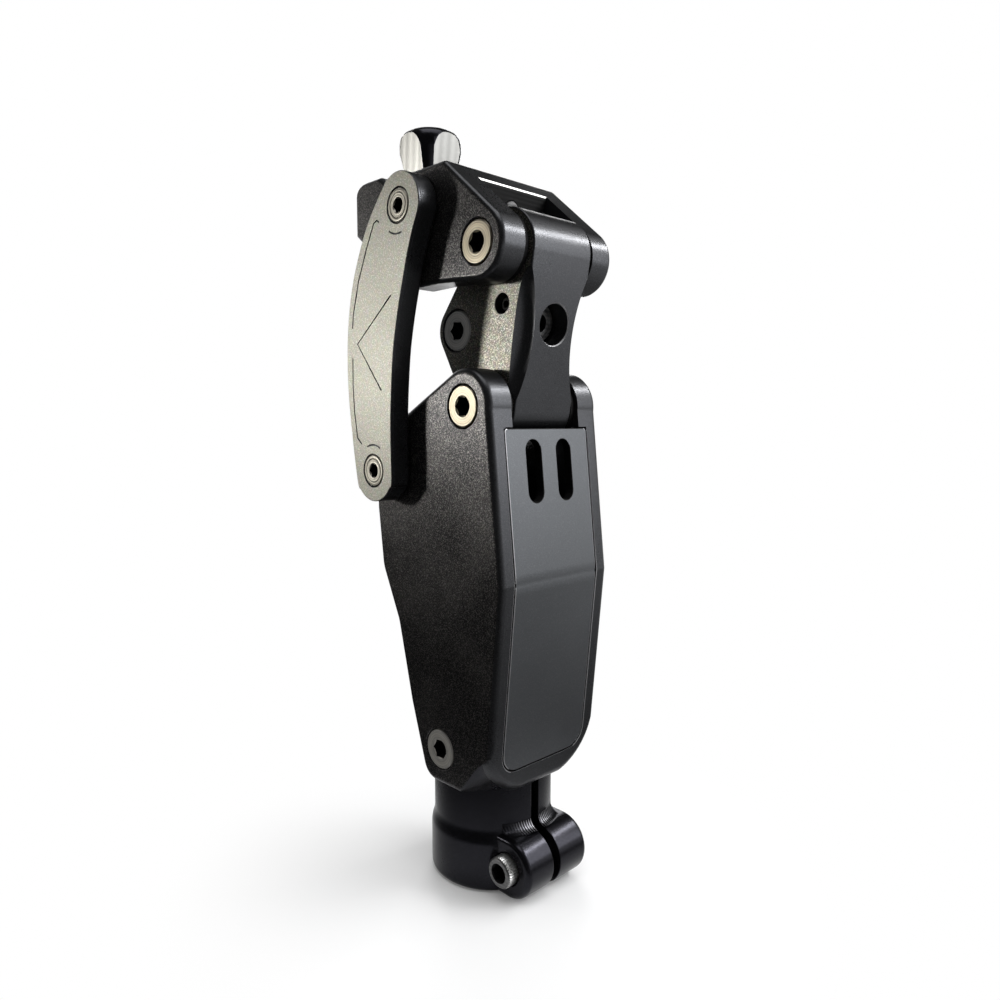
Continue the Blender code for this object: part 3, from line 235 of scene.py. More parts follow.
def machined(name, colour, rough, centre=None, pitch=5200.0, depth=0.35, tint=(1.0, 1.0, 1.0), metal=1.0,
             along=(0.0, 0.0, 1.0)):
    """Machined metal: fine rings round an axis along X through centre, or fine lines across a direction."""
    mat, shader, w = new_material(name)
    place = w.node("ShaderNodeTexCoord", None, None, 3)
    if centre is not None:
        flat = w.node("ShaderNodeVectorMath", {"operation": "MULTIPLY_ADD"},
                      {0: place, 1: (0.0, 1.0, 1.0), 2: (0.0, -centre[0], -centre[1])})
        run = w.node("ShaderNodeVectorMath", {"operation": "LENGTH"}, {0: flat}, 1)
    else:
        run = w.node("ShaderNodeVectorMath", {"operation": "DOT_PRODUCT"}, {0: place, 1: along}, 1)
    wobble = w.node("ShaderNodeTexNoise", None, {"Vector": place, "Scale": 900.0, "Detail": 2.0})
    rings = w.sum("SINE", run * pitch + wobble * 1.6)
    coarse = w.sum("SINE", run * pitch * 0.31 + 0.7)
    mask = rings * 0.30 + coarse * 0.20 + 0.5
    low_tone = tuple(c * 0.66 for c in colour)
    high_tone = tuple(min(1.0, c * t * 1.12) for c, t in zip(colour, tint))
    link(spread(w, mask, low_tone, high_tone), shader, "Base Color")
    link(rough + mask * 0.10 + (wobble - 0.5) * 0.10, shader, "Roughness")
    shader.inputs["Metallic"].default_value = metal
    cuts = w.node("ShaderNodeBump", None, {"Strength": depth, "Distance": 0.00003, "Height": rings + coarse})
    link(cuts, shader, "Normal")
    return mat


# Bright steel for plain steel parts, also put on the edge of the head's web as a painted highlight.
BRIGHT_AND_HIGHLIGHT = machined("bright_steel", (0.70, 0.69, 0.66), 0.26)
CHROME = machined("chromed_rod", (0.82, 0.83, 0.84), 0.10, None, 9000.0, 0.05)
DARK_STEEL = machined("dark_steel", (0.12, 0.12, 0.12), 0.42)
BRONZE = machined("bearing_bronze", (0.50, 0.34, 0.17), 0.34)
RUBBER = blasted("black_rubber", (0.012, 0.012, 0.012), (0.022, 0.022, 0.022), 0.78, 0.0, 1400.0, 0.30)
GREY_STEEL = machined("grey_steel", (0.20, 0.20, 0.20), 0.36)
# Near-black as painted shade in sockets, holes, slots and narrow gaps.
SHADE_BLACK = machined("painted_shade_black", (0.020, 0.020, 0.020), 0.60)
# Painted highlight: a bright finish on chamfered edges, standing for the light they catch.
EDGE = blasted("painted_edge_highlight", (0.34, 0.34, 0.35), (0.46, 0.46, 0.47), 0.34, 0.9, 3000.0, 0.10)

# The set screws, deep in their holes, are painted near-black as shade.
finish_of = {"shank_frame": BLASTED, "head_block": BLASTED, "rear_link": BLASTED, "rear_cover": COVER,
             "tube_clamp": GLOSS, "side_link_left": SATIN, "side_link_right": SATIN,
             "face_plate_left": SILVER, "face_plate_right": SILVER, "cylinder_barrel": SATIN,
             "cylinder_gland": COVER, "piston": COVER, "piston_seal": RUBBER, "piston_rod": CHROME,
             "rod_end": COVER, "extension_bumper": RUBBER, "front_bush_left": BRONZE,
             "front_bush_right": BRONZE, "mid_bolt_left": DARK_STEEL, "mid_bolt_right": DARK_STEEL,
             "set_screw_left": SHADE_BLACK, "set_screw_right": SHADE_BLACK, "wall_screw": GREY_STEEL,
             "pyramid_bolt": DARK_STEEL, "neck_screw_left": DARK_STEEL, "neck_screw_right": DARK_STEEL,
             "cylinder_bolt_left": DARK_STEEL, "cylinder_bolt_right": DARK_STEEL}
for name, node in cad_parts.items():
    mat = finish_of.get(name, BRIGHT_AND_HIGHLIGHT)
    if not node.data.materials:
        node.data.materials.append(mat)
    for i in range(len(node.material_slots)):
        node.material_slots[i].material = mat

# Shank frame: one milled block of aluminium, hollow for the cylinder, its sides bead
# blasted, its rounded rims satin, with seats for the bolts and a pocket for the cover.


def arc(centre, radius, start, end, steps):
    """Points of a circular arc, angles in degrees from the first axis to the second."""
    points = []
    for i in range(steps + 1):
        a = math.radians(start + (end - start) * i / steps)
        points.append((centre[0] + radius * math.cos(a), centre[1] + radius * math.sin(a)))
    return points


def rounded(corners, steps=8):
    """Outline through corners given as (u, v, radius), each corner rounded off."""
    points = []
    for i, (u, v, radius) in enumerate(corners):
        here = Vector((u, v))
        if radius <= 0.0:
            points.append((u, v))
            continue
        back = (Vector(corners[i - 1][:2]) - here).normalized()
        ahead = (Vector(corners[(i + 1) % len(corners)][:2]) - here).normalized()
        half = math.acos(max(-1.0, min(1.0, back.dot(ahead)))) / 2.0
        centre = here + (back + ahead).normalized() * (radius / math.sin(half))
        start = here + back * (radius / math.tan(half)) - centre
        end = here + ahead * (radius / math.tan(half)) - centre
        a0 = math.atan2(start.y, start.x)
        turn = (math.atan2(end.y, end.x) - a0 + math.pi) % (2.0 * math.pi) - math.pi
        for k in range(steps + 1):
            a = a0 + turn * k / steps
            points.append((centre.x + radius * math.cos(a), centre.y + radius * math.sin(a)))
    return points


def spaced(points, least):
    """The outline without points closer together than the least distance."""
    kept = [points[0]]
    for p in points[1:]:
        if math.dist(p, kept[-1]) > least:
            kept.append(p)
    while len(kept) > 3 and math.dist(kept[-1], kept[0]) <= least:
        kept.pop()
    return kept


def new_object(name, bm):
    """Object from a bmesh, at the origin, its faces pointing outwards."""
    bmesh.ops.remove_doubles(bm, verts=bm.verts, dist=1e-7)
    bmesh.ops.recalc_face_normals(bm, faces=bm.faces)
    mesh = bpy.data.meshes.new(name)
    bm.to_mesh(mesh)
    bm.free()
    made = bpy.data.objects.new(name, mesh)
    bpy.context.scene.collection.objects.link(made)
    return made


def plate(name, outline, low, high, rim=0.0, steps=4, across="X"):
    """Outline extruded across X, Y or Z, its rims rounded by one width or by a low and a high one."""
    order = {"X": (1, 2, 0), "Y": (0, 2, 1), "Z": (0, 1, 2)}[across]

    def place(u, v, w):
        spot = [0.0, 0.0, 0.0]
        spot[order[0]], spot[order[1]], spot[order[2]] = u, v, w
        return spot

    bm = bmesh.new()
    face = bm.faces.new([bm.verts.new(place(p[0], p[1], low)) for p in outline])
    first = list(face.edges)
    grown = bmesh.ops.extrude_face_region(bm, geom=[face])["geom"]
    moved = [v for v in grown if isinstance(v, bmesh.types.BMVert)]
    bmesh.ops.translate(bm, verts=moved, vec=place(0.0, 0.0, high - low))
    second = [e for e in grown if isinstance(e, bmesh.types.BMEdge)]
    rims = rim if isinstance(rim, tuple) else (rim, rim)
    for edges, width in zip((first, second), rims):
        if width > 0.0:
            bmesh.ops.bevel(bm, geom=edges, offset=width, offset_type="OFFSET", segments=steps,
                            profile=0.5, affect="EDGES", clamp_overlap=False, material=-1)
    return new_object(name, bm)


def turned(name, profile, point, direction, steps=64, closed=False):
    """Profile of (radius, height) spun round an axis from a point along a direction."""
    bm = bmesh.new()
    line = [bm.verts.new((r, 0.0, h)) for r, h in profile]
    edges = [bm.edges.new((a, b)) for a, b in zip(line, line[1:])]
    if closed:
        edges.append(bm.edges.new((line[-1], line[0])))
    bmesh.ops.spin(bm, geom=line + edges, cent=(0.0, 0.0, 0.0), axis=(0.0, 0.0, 1.0), dvec=(0.0, 0.0, 0.0),
                   angle=2.0 * math.pi, steps=steps, use_merge=True, use_duplicate=False)
    turn = Vector((0.0, 0.0, 1.0)).rotation_difference(Vector(direction).normalized()).to_matrix()
    bmesh.ops.rotate(bm, verts=bm.verts, cent=(0.0, 0.0, 0.0), matrix=turn)
    bmesh.ops.translate(bm, verts=bm.verts, vec=point)
    return new_object(name, bm)


REACH = 0.03  # half length of a cutter that goes right across the knee


def bar(name, pivot, radius, low=-REACH, high=REACH):
    """Plain round cutter across the knee."""
    return turned(name, [(0.0, low), (radius, low), (radius, high), (0.0, high)],
                  (0.0, pivot[0], pivot[1]), (1.0, 0.0, 0.0))


def seat(name, pivot, side, face, radius, deep, lip=0.00025, steps=64):
    """Cutter for a flat-bottomed round seat in a side face, with a small chamfer at its mouth."""
    wide = radius + 1.5 * lip
    return turned(name, [(0.0, face - deep), (radius, face - deep), (radius, face - lip),
                         (wide, face + 0.5 * lip), (wide, face + 0.01), (0.0, face + 0.01)],
                  (0.0, pivot[0], pivot[1]), (side, 0.0, 0.0), steps)


def shape(target, how, *tools):
    """Booleans a piece with its cutters or extra bodies, which are then dropped."""
    for tool in tools:
        mod = target.modifiers.new(tool.name, "BOOLEAN")
        mod.operation = how
        mod.solver = "EXACT"
        mod.object = tool
    bpy.context.view_layer.update()
    seen = target.evaluated_get(bpy.context.evaluated_depsgraph_get())
    made = bpy.data.meshes.new_from_object(seen)
    target.modifiers.clear()
    target.data = made
    for tool in tools:
        bpy.data.objects.remove(tool, do_unlink=True)
    return target


def dress(obj, body, nodes, mats, pick=None, smooth=32.0):
    """Finish, shading and place in the frame of a piece; pick gives a face its finish by number."""
    mesh = obj.data
    mesh.materials.clear()
    for mat in mats:
        mesh.materials.append(mat)
    for face in mesh.polygons:
        face.material_index = pick(face.center, face.normal) if pick else 0
    mesh.shade_smooth()
    mesh.set_sharp_from_angle(angle=math.radians(smooth))
    weigh = obj.modifiers.new("flat faces stay flat", "WEIGHTED_NORMAL")
    weigh.keep_sharp = True
    weigh.weight = 80
    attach(obj, body)
    if nodes:
        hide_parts(*nodes)


def soften(obj, test, width, steps=2):
    """Bevels the edges of a finished piece that the test picks."""
    bm = bmesh.new()
    bm.from_mesh(obj.data)
    bmesh.ops.remove_doubles(bm, verts=bm.verts, dist=2e-6)
    bm.normal_update()
    picked = [e for e in bm.edges if len(e.link_faces) == 2 and e.calc_face_angle(0.0) > math.radians(40.0)
              and test((e.verts[0].co + e.verts[1].co) / 2.0)]
    bmesh.ops.bevel(bm, geom=picked, offset=width, offset_type="OFFSET", segments=steps, profile=0.5,
                    affect="EDGES", clamp_overlap=False, material=-1)
    bm.to_mesh(obj.data)
    bm.free()


SIDES = (("left", -1.0), ("right", 1.0))
REAR_LOW = (0.0117, 0.1193)  # pivots as (y, z): rear link to frame
FOOT = (0.0007, 0.0163)  # cylinder to frame
FRONT_LOW = (-0.0203, 0.1002)  # side links to frame
HALF = 0.0230  # half width of frame and head
CHEEK = 0.0142  # half width of the slots in them
BOTTOM = 0.0054  # underside of the frame
BEND = 0.0697  # height of the bend in its rear face
AXLE_BORE, FOOT_BORE = 0.0048, 0.0043
SEAT_RADIUS, SEAT_DEEP = 0.0063, 0.0045
NECK_SCREW = (0.0110, 0.0100)


def rear_line(z):
    """How far back the rear face of the frame lies at a height."""
    if z >= BEND:
        return 0.0276 + (0.0225 - 0.0276) * (z - BEND) / (0.1173 - BEND)
    return 0.0224 + (0.0276 - 0.0224) * (z - 0.0160) / (BEND - 0.0160)


lower = rounded([(0.0, BOTTOM, 0.0), (rear_line(BOTTOM), BOTTOM, 0.0032), (0.0276, BEND, 0.0040),
                 (0.0225, 0.1193, 0.0)], 10)[1:-1]
boss = arc(REAR_LOW, 0.0108, -6.0, 118.0, 30)
front = rounded([(REAR_LOW[0], REAR_LOW[1], 0.0), (boss[-1][0], boss[-1][1], 0.0),
                 (-0.0300, boss[-1][1] - (boss[-1][0] + 0.0300) * 0.532, 0.0060),
                 (-0.0300, 0.0880, 0.0120), (-0.0276, 0.0690, 0.0120), (-0.0198, 0.0525, 0.0120),
                 (-0.0136, 0.0280, 0.0), (-0.0062, BOTTOM, 0.0060), (0.0, BOTTOM, 0.0)], 8)[2:-1]
body = plate("shank_frame_body", spaced(lower + boss + front, 0.0003), -HALF, HALF, 0.0020, 5)
# Block that rounds the two foot corners: rings of (y, corner radius, inset) up to the rear.
corner = bmesh.new()
rings = []
steps = [(-0.0600, 0.0004, 0.0), (0.0060, 0.0004, 0.0), (0.0085, 0.0018, 0.0), (0.0110, 0.0050, 0.0),
         (0.0135, 0.0095, 0.0), (0.0160, 0.0140, 0.0), (0.0180, 0.0172, 0.0), (0.0194, 0.0188, 0.0)]
steps += [(0.0194 + 0.0030 * math.sin(math.radians(a)), 0.0190 - 0.0030 * (1.0 - math.cos(math.radians(a))),
           0.0030 * (1.0 - math.cos(math.radians(a)))) for a in range(15, 91, 15)]
for y, radius, inwards in steps:
    side_at, low_at = 0.0240 - inwards, 0.0049 + inwards
    points = rounded([(-side_at, low_at, radius), (side_at, low_at, radius), (side_at, 0.15, 0.001),
                      (-side_at, 0.15, 0.001)], 18)
    rings.append([corner.verts.new((u, y + 0.0968 * (v - 0.0160), v)) for u, v in points])
for ring, next_ring in zip(rings, rings[1:]):
    for i in range(len(ring)):
        j = (i + 1) % len(ring)
        corner.faces.new((ring[i], ring[j], next_ring[j], next_ring[i]))
corner.faces.new(rings[0])
corner.faces.new(rings[-1])
shape(body, "INTERSECT", new_object("corner_block", corner))
shape(body, "UNION", turned("front_bulge", [(0.0, BOTTOM), (0.0180, BOTTOM), (0.0188, BOTTOM + 0.0008),
                                            (0.0188, 0.0460), (0.0110, 0.0640), (0.0, 0.0640)],
                            (0.0, 0.0, 0.0), (0.0, 0.0, 1.0), 96))
cutters = [plate("cavity", [(0.0400, 0.0190), (0.0400, 0.1700), (-0.0240, 0.1700), (-0.0240, 0.0830),
                            (-0.0160, 0.0560), (-0.0090, 0.0330), (-0.0078, 0.0090), (0.0150, 0.0090),
                            (0.0150, 0.0190)], -CHEEK, CHEEK)]
run = Vector((0.0, -0.0037, 0.1259)).normalized()
for i, swing in enumerate((0.0, 2.7, 5.4)):
    cutters.append(turned("well" + str(i), [(0.0, 0.0040), (0.0113, 0.0040), (0.0113, 0.1000), (0.0, 0.1000)],
                          (0.0, FOOT[0], FOOT[1]), Matrix.Rotation(math.radians(swing), 3, "X") @ run, 48))


def cover_shape(name, grow, top, inner, outer, corner_top):
    """Slab that follows the rear face, grown by an amount, between two depths under it."""
    half = 0.0174 + grow
    low = 0.0132 - grow
    outline = rounded([(-half, low, 0.0060 + grow), (half, low, 0.0060 + grow),
                       (half, top, corner_top), (-half, top, corner_top)], 12)
    slab = plate(name, outline, 0.0, 0.05, 0.0, 1, "Y")
    marks = [0.0050, 0.0160] + [BEND + 0.0030 * k / 6.0 for k in range(-6, 7)] + [0.1400]
    lines = []
    for z in marks:
        y = rear_line(z)
        if abs(z - BEND) < 0.0030:
            y -= 0.000156 * (1.0 - abs(z - BEND) / 0.0030) ** 2 * 1.9
        lines.append((y, z))
    loop = [(y - outer, z) for y, z in lines] + [(y - inner, z) for y, z in lines[::-1]]
    return shape(slab, "INTERSECT", plate(name + "_band", loop, -REACH, REACH))


cutters += [cover_shape("pocket", 0.0004, 0.1135, 0.0029, -0.0100, 0.0),
            bar("axle_bore", REAR_LOW, AXLE_BORE), bar("foot_bore", FOOT, FOOT_BORE),
            bar("front_bore", FRONT_LOW, 0.0061)]
for label, side in SIDES:
    cutters += [seat("rear_seat_" + label, REAR_LOW, side, HALF, SEAT_RADIUS, SEAT_DEEP),
                seat("foot_seat_" + label, FOOT, side, HALF, SEAT_RADIUS, SEAT_DEEP),
                turned("neck_hole_" + label,
                       [(0.0, -0.01), (0.0028, -0.01), (0.0028, 0.0068), (0.0050, 0.0090), (0.0050, 0.0110),
                        (0.0, 0.0110)], (side * NECK_SCREW[0], NECK_SCREW[1], 0.0), (0.0, 0.0, 1.0), 32)]
shape(body, "DIFFERENCE", *cutters)
soften(body, lambda c: c.y > rear_line(c.z) - 0.0003 and abs(c.x) < 0.01785 and 0.0126 < c.z < 0.1130,
       0.00028)


def frame_finish(c, n):
    """Bead-blasted sides, a painted highlight on the chamfer round the pocket, glossy black as painted shade
    on the downward faces of the foot corners, satin for the rest.
    """
    if 0.0060 < c.y < 0.0194 and c.z < 0.0260 and n.z < -0.05 and abs(n.x) < 0.985:
        return 3
    if abs(n.x) > 0.985 and abs(c.x) > HALF - 0.0002 or c.z < 0.0260 and c.y < 0.0194:
        return 0
    mouth = math.hypot(max(abs(c.x) - 0.0114, 0.0), max(0.0192 - c.z, 0.0)) < 0.0068 and c.z < 0.1139
    return 2 if mouth and c.y > rear_line(c.z) - 0.0004 and n.y < 0.95 else 1


dress(body, "frame", ["shank_frame"], [BLASTED, SATIN, EDGE, GLOSS], frame_finish)

# Rear cover: a thin satin plate let into the back of the frame, bent where the frame is widest, with two long
# slots at the top and a fine chamfer round its edge. The chamfer is painted bright as a highlight along the
# long sides; the slot walls and the plate's other edges are painted near-black as shade.
cover = cover_shape("rear_cover_plate", 0.0, 0.1131, 0.0026, 0.0, 0.0010)
slots = []
for label, side in SIDES:
    x0, x1 = side * 0.0064 - 0.0031, side * 0.0064 + 0.0031
    corners = [(x, z, 0.00309) for x, z in ((x0, 0.0920), (x1, 0.0920), (x1, 0.1100), (x0, 0.1100))]
    slots.append(plate("slot_" + label, rounded(corners, 12), 0.0, 0.05, 0.0, 1, "Y"))
shape(cover, "DIFFERENCE", *slots)
soften(cover, lambda c: c.y > rear_line(c.z) - 0.0006, 0.00025)
# Painted highlight on the side chamfers, painted shade on the slot walls and the other edges.
dress(cover, "frame", ["rear_cover"], [COVER, EDGE, SHADE_BLACK], lambda c, n:
      0 if n.y > 0.93 else 1 if c.y > rear_line(c.z) - 0.00026 and abs(c.x) > 0.0150 else 2)

# Rear link: one wide milled link with round ends, waisted at the back by two round coves,
# slotted at the front for the rod end and drilled through the back to reach its screw.
REAR_TOP = (0.0177, 0.1633)  # rear link to head
ROD_PIN = (-0.0030, 0.1422)  # rear link to the cylinder's rod
LINK_HALF = 0.0120
LOW_RADIUS, TOP_RADIUS = 0.0099, 0.0112


def hull(points):
    """Convex outline round a set of side-view points."""
    ordered = sorted(set(points))
    halves = []
    for run_of in (ordered, ordered[::-1]):
        chain = []
        for p in run_of:
            while len(chain) > 1:
                a, b = chain[-2], chain[-1]
                if (b[0] - a[0]) * (p[1] - a[1]) - (b[1] - a[1]) * (p[0] - a[0]) > 1e-12:
                    break
                chain.pop()
            chain.append(p)
        halves.append(chain[:-1])
    return halves[0] + halves[1]


link_body = plate("rear_link_body", spaced(hull(arc(REAR_LOW, LOW_RADIUS, 0.0, 355.0, 71)
                                                + arc(REAR_TOP, TOP_RADIUS, 0.0, 355.0, 71)
                                                + arc(ROD_PIN, 0.0081, 0.0, 354.0, 59)), 0.0003),
                  -LINK_HALF, LINK_HALF, 0.0005, 3)
spine = Vector((0.0, REAR_TOP[0] - REAR_LOW[0], REAR_TOP[1] - REAR_LOW[1]))
back_normal = Vector((0.0, spine.z, -spine.y)).normalized()
low_back = Vector((0.0, REAR_LOW[0], REAR_LOW[1])) + back_normal * LOW_RADIUS
top_back = Vector((0.0, REAR_TOP[0], REAR_TOP[1])) + back_normal * TOP_RADIUS
waist = low_back.lerp(top_back, 0.48)
up_back = (top_back - low_back).normalized()
face_out = Vector((0.0, up_back.z, -up_back.y))
cutters = []
for label, side in SIDES:
    centre = waist + Vector((side * 0.0543, 0.0, 0.0))
    inwards = Vector((-side, 0.0, 0.0))
    turn_axis = inwards.cross(up_back)
    first = Matrix.Rotation(math.radians(-37.5), 3, turn_axis) @ inwards
    cove = bmesh.new()
    bmesh.ops.create_circle(cove, cap_ends=False, radius=0.0042, segments=40)
    lay = Matrix((first, face_out, first.cross(face_out))).transposed()
    bmesh.ops.rotate(cove, verts=cove.verts, cent=(0.0, 0.0, 0.0), matrix=lay)
    bmesh.ops.translate(cove, verts=cove.verts, vec=centre + first * 0.0420)
    bmesh.ops.spin(cove, geom=list(cove.verts) + list(cove.edges), cent=centre, axis=turn_axis,
                   angle=math.radians(75.0), steps=60, dvec=(0.0, 0.0, 0.0), use_duplicate=False)
    bmesh.ops.holes_fill(cove, edges=[e for e in cove.edges if e.is_boundary], sides=0)
    cutters.append(new_object("cove_" + label, cove))
cutters.append(plate("rod_clevis", [(-0.0200, 0.1050), (0.0016, 0.1050), (0.0020, 0.1290), (0.0058, 0.1325),
                                    (0.0058, 0.1490), (0.0040, 0.1510), (-0.0200, 0.1510)], -0.0053, 0.0053))
hole_spot = low_back.lerp(top_back, 0.56)
cutters.append(turned("access_hole", [(0.0, -0.0220), (0.0059, -0.0220), (0.0059, -0.0003), (0.0065, 0.0003),
                                      (0.0065, 0.0100), (0.0, 0.0100)], hole_spot, face_out, 64))
cutters += [bar("low_bore", REAR_LOW, AXLE_BORE), bar("top_bore", REAR_TOP, AXLE_BORE),
            bar("pin_bore", ROD_PIN, 0.0038)]
for label, side in SIDES:
    cutters += [seat("mid_seat_" + label, ROD_PIN, side, LINK_HALF, SEAT_RADIUS, 0.0035),
                seat("grub_hole_" + label, (0.0164, 0.1482), side, LINK_HALF, 0.0028, 0.0060, 0.0002, 40)]
shape(link_body, "DIFFERENCE", *cutters)


def link_finish(c, n):
    """Blasted sides in a brighter copy of the finish as painted key light, a painted highlight on the chamfer
    of the access hole, satin for the rest.
    """
    if abs(n.x) > 0.985 and abs(c.x) > LINK_HALF - 0.0002:
        return 0
    reach = (c - hole_spot).dot(face_out)
    ring = (c - hole_spot - face_out * reach).length
    return 2 if -0.0004 < reach < 0.0002 and 0.0056 < ring < 0.0066 and n.dot(face_out) < 0.95 else 1


dress(link_body, "rear_link_body", ["rear_link"], [LIT_FACE, SATIN, EDGE], link_finish)

# Screw in the access hole: a small turned head with a ring groove and a round socket, seen deep in the hole
# through the back of the rear link; the sides of the head and the socket are painted near-black as shade.
deep_spot = hole_spot - face_out * 0.0100
inner_screw = turned("access_screw",
                     [(0.0, -0.0010), (0.0056, -0.0010), (0.0056, 0.0038), (0.0052, 0.0043), (0.0044, 0.0043),
                      (0.0041, 0.0039), (0.0037, 0.0039), (0.0034, 0.0043), (0.0026, 0.0043),
                      (0.0022, 0.0020), (0.0, 0.0020)], deep_spot, face_out, 64)
dress(inner_screw, "rear_link_body", [], [GREY_STEEL, SHADE_BLACK],
      lambda c, n: 1 if (c - deep_spot).dot(face_out) < 0.0034 else 0)

# Head: two cheeks joined by a thick web, milled from one block, its sides bead blasted,
# the round bosses at its back and the web between them satin.
FRONT_TOP = (-0.0066, 0.1760)  # side links to head
WEB_BACK = 0.0092  # rear face of the web between the cheeks
HEAD_TOP = 0.1878
PYRAMID_Y = -0.0292
tail_end = arc(REAR_TOP, 0.0100, -88.0, 49.6, 30)
slope = math.tan(math.radians(40.4))
ridge = tail_end[-1][0] - (HEAD_TOP - tail_end[-1][1]) / slope
head_line = rounded([(REAR_TOP[0], REAR_TOP[1], 0.0), (tail_end[-1][0], tail_end[-1][1], 0.0),
                     (ridge, HEAD_TOP, 0.0024), (-0.0236, HEAD_TOP, 0.0008), (-0.0264, 0.1896, 0.0020),
                     (-0.0424, 0.1896, 0.0050), (-0.0424, 0.1762, 0.0080),
                     (-0.0345, 0.1700, 0.0060), (-0.0125, 0.1543, 0.0060), (0.0, 0.1545, 0.0),
                     (0.0100, 0.1533, 0.0)], 8)[2:-1]
head = plate("head_block_body", spaced(tail_end + head_line, 0.0003), -HALF, HALF, 0.0015, 5)
plan_line = rounded([(-0.0245, 0.0600, 0.0050), (-0.0245, -0.0424, 0.0095), (0.0245, -0.0424, 0.0095),
                     (0.0245, 0.0600, 0.0050)], 16)
shape(head, "INTERSECT", plate("head_plan", plan_line, 0.13, 0.18965, (0.0, 0.0040), 7, "Z"))
web_top = tail_end[-1][1] + (tail_end[-1][0] - WEB_BACK) * slope
cutters = [plate("head_slot",
                 [(0.0500, 0.1300), (0.0500, 0.2200), (WEB_BACK, 0.2200), (WEB_BACK, web_top - 0.0014),
                  (0.0050, 0.1672), (0.0020, 0.1664), (-0.0230, 0.1670), (-0.0260, 0.1690),
                  (-0.0260, 0.1300)], -CHEEK, CHEEK),
           bar("upper_bore", REAR_TOP, AXLE_BORE), bar("front_top_bore", FRONT_TOP, FOOT_BORE),
           turned("spigot_hole", [(0.0, 0.1500), (0.0058, 0.1500), (0.0058, 0.1768), (0.0036, 0.1768),
                                  (0.0036, 0.1828), (0.0063, 0.1828), (0.0063, 0.18784), (0.0134, 0.18784),
                                  (0.0134, 0.1978), (0.0, 0.1978)],
                  (0.0, PYRAMID_Y, 0.0), (0.0, 0.0, 1.0), 48)]
for label, side in SIDES:
    cutters.append(seat("upper_seat_" + label, REAR_TOP, side, HALF, SEAT_RADIUS, SEAT_DEEP))
wall_dir = Vector((0.0, web_top - 0.0014 - 0.1672, -0.0042)).normalized()
wall_spot = Vector((0.0, WEB_BACK, web_top - 0.0014)).lerp(Vector((0.0, 0.0050, 0.1672)), 0.34)
cutters.append(turned("wall_hole", [(0.0, -0.0060), (0.0031, -0.0060), (0.0031, 0.0050), (0.0, 0.0050)],
                      wall_spot, wall_dir, 32))
contact = Vector((0.0, ROD_PIN[1] - REAR_TOP[1], -(ROD_PIN[0] - REAR_TOP[0]))).normalized()
contact = Matrix.Rotation(math.asin(0.0031 / math.dist(REAR_TOP, ROD_PIN)), 3, "X") @ contact
contact = -contact if contact.z < 0.0 else contact
along = Vector((0.0, contact.z, -contact.y))
along = -along if along.z > 0.0 else along
bumper_spot = Vector((0.0, REAR_TOP[0], REAR_TOP[1])) + contact * TOP_RADIUS + along * 0.0075
cutters.append(turned("bumper_hole", [(0.0, 0.0003), (0.0028, 0.0003), (0.0028, 0.0063), (0.0, 0.0063)],
                      bumper_spot, contact, 24))
shape(head, "DIFFERENCE", *cutters)
soften(head, lambda c: abs(c.x) < CHEEK - 0.0004 and abs(c.y - WEB_BACK) < 0.0006 and c.z > 0.17, 0.0005, 2)


def head_finish(c, n):
    """Bead-blasted sides, a painted highlight on the web's top edge and painted shade on the wall at the
    web's back, satin for the rest.
    """
    if abs(n.x) > 0.985 and abs(c.x) > HALF - 0.0002:
        return 0
    if abs(c.x) < CHEEK and 0.0040 < c.y < 0.0097 and c.z > 0.1675:
        if math.hypot(c.y - WEB_BACK, c.z - web_top) < 0.0006:
            return 2
        return 3 if n.y > 0.60 and n.z < 0.5 else 1
    return 1


dress(head, "head", ["head_block"], [BLASTED, SATIN, BRIGHT_AND_HIGHLIGHT, SHADE_BLACK], head_finish)

# Side links: two crescent plates outside the cheeks, black anodised aluminium with a bare
# silver face plate on the outside, engraved with fine lines.


def smooth_outline(points, steps):
    """Closed smooth curve through the given points."""
    made = []
    for i in range(len(points)):
        p0, p1 = Vector(points[i - 1]), Vector(points[i])
        p2, p3 = Vector(points[(i + 1) % len(points)]), Vector(points[(i + 2) % len(points)])
        for k in range(steps):
            t = k / steps
            made.append((0.5 * (2.0 * p1 + (p2 - p0) * t + (2.0 * p0 - 5.0 * p1 + 4.0 * p2 - p3) * t * t
                                + (3.0 * p1 - p0 - 3.0 * p2 + p3) * t * t * t))[:])
    return made


OUTSIDE = 0.0308  # outer face of the side links
crescent = arc(FRONT_LOW, 0.0094, 205.0, 345.0, 8)
crescent += [(-0.0113, 0.1150), (-0.0099, 0.1330), (-0.0077, 0.1445), (-0.0044, 0.1560), (-0.0010, 0.1660)]
crescent += arc(FRONT_TOP, 0.0094, -15.0, 135.0, 8)
crescent += [(-0.0222, 0.1722), (-0.0294, 0.1578), (-0.0328, 0.1430), (-0.0332, 0.1260), (-0.0313, 0.1100)]
crescent = spaced(smooth_outline(crescent, 8), 0.0004)
engraved = [[(-0.0156, 0.1728), (-0.0168, 0.1735), (-0.0182, 0.1729), (-0.0220, 0.1664), (-0.0266, 0.1571),
             (-0.0296, 0.1475), (-0.0301, 0.1435)],
            [(-0.0302, 0.1345), (-0.0304, 0.1265), (-0.0298, 0.1180), (-0.0284, 0.1100), (-0.0262, 0.1082)],
            [(-0.0104, 0.1514), (-0.0276, 0.1386), (-0.0156, 0.1242)],
            arc(FRONT_TOP, 0.0078, 236.0, 282.0, 12), arc(FRONT_LOW, 0.0078, 62.0, 112.0, 12)]
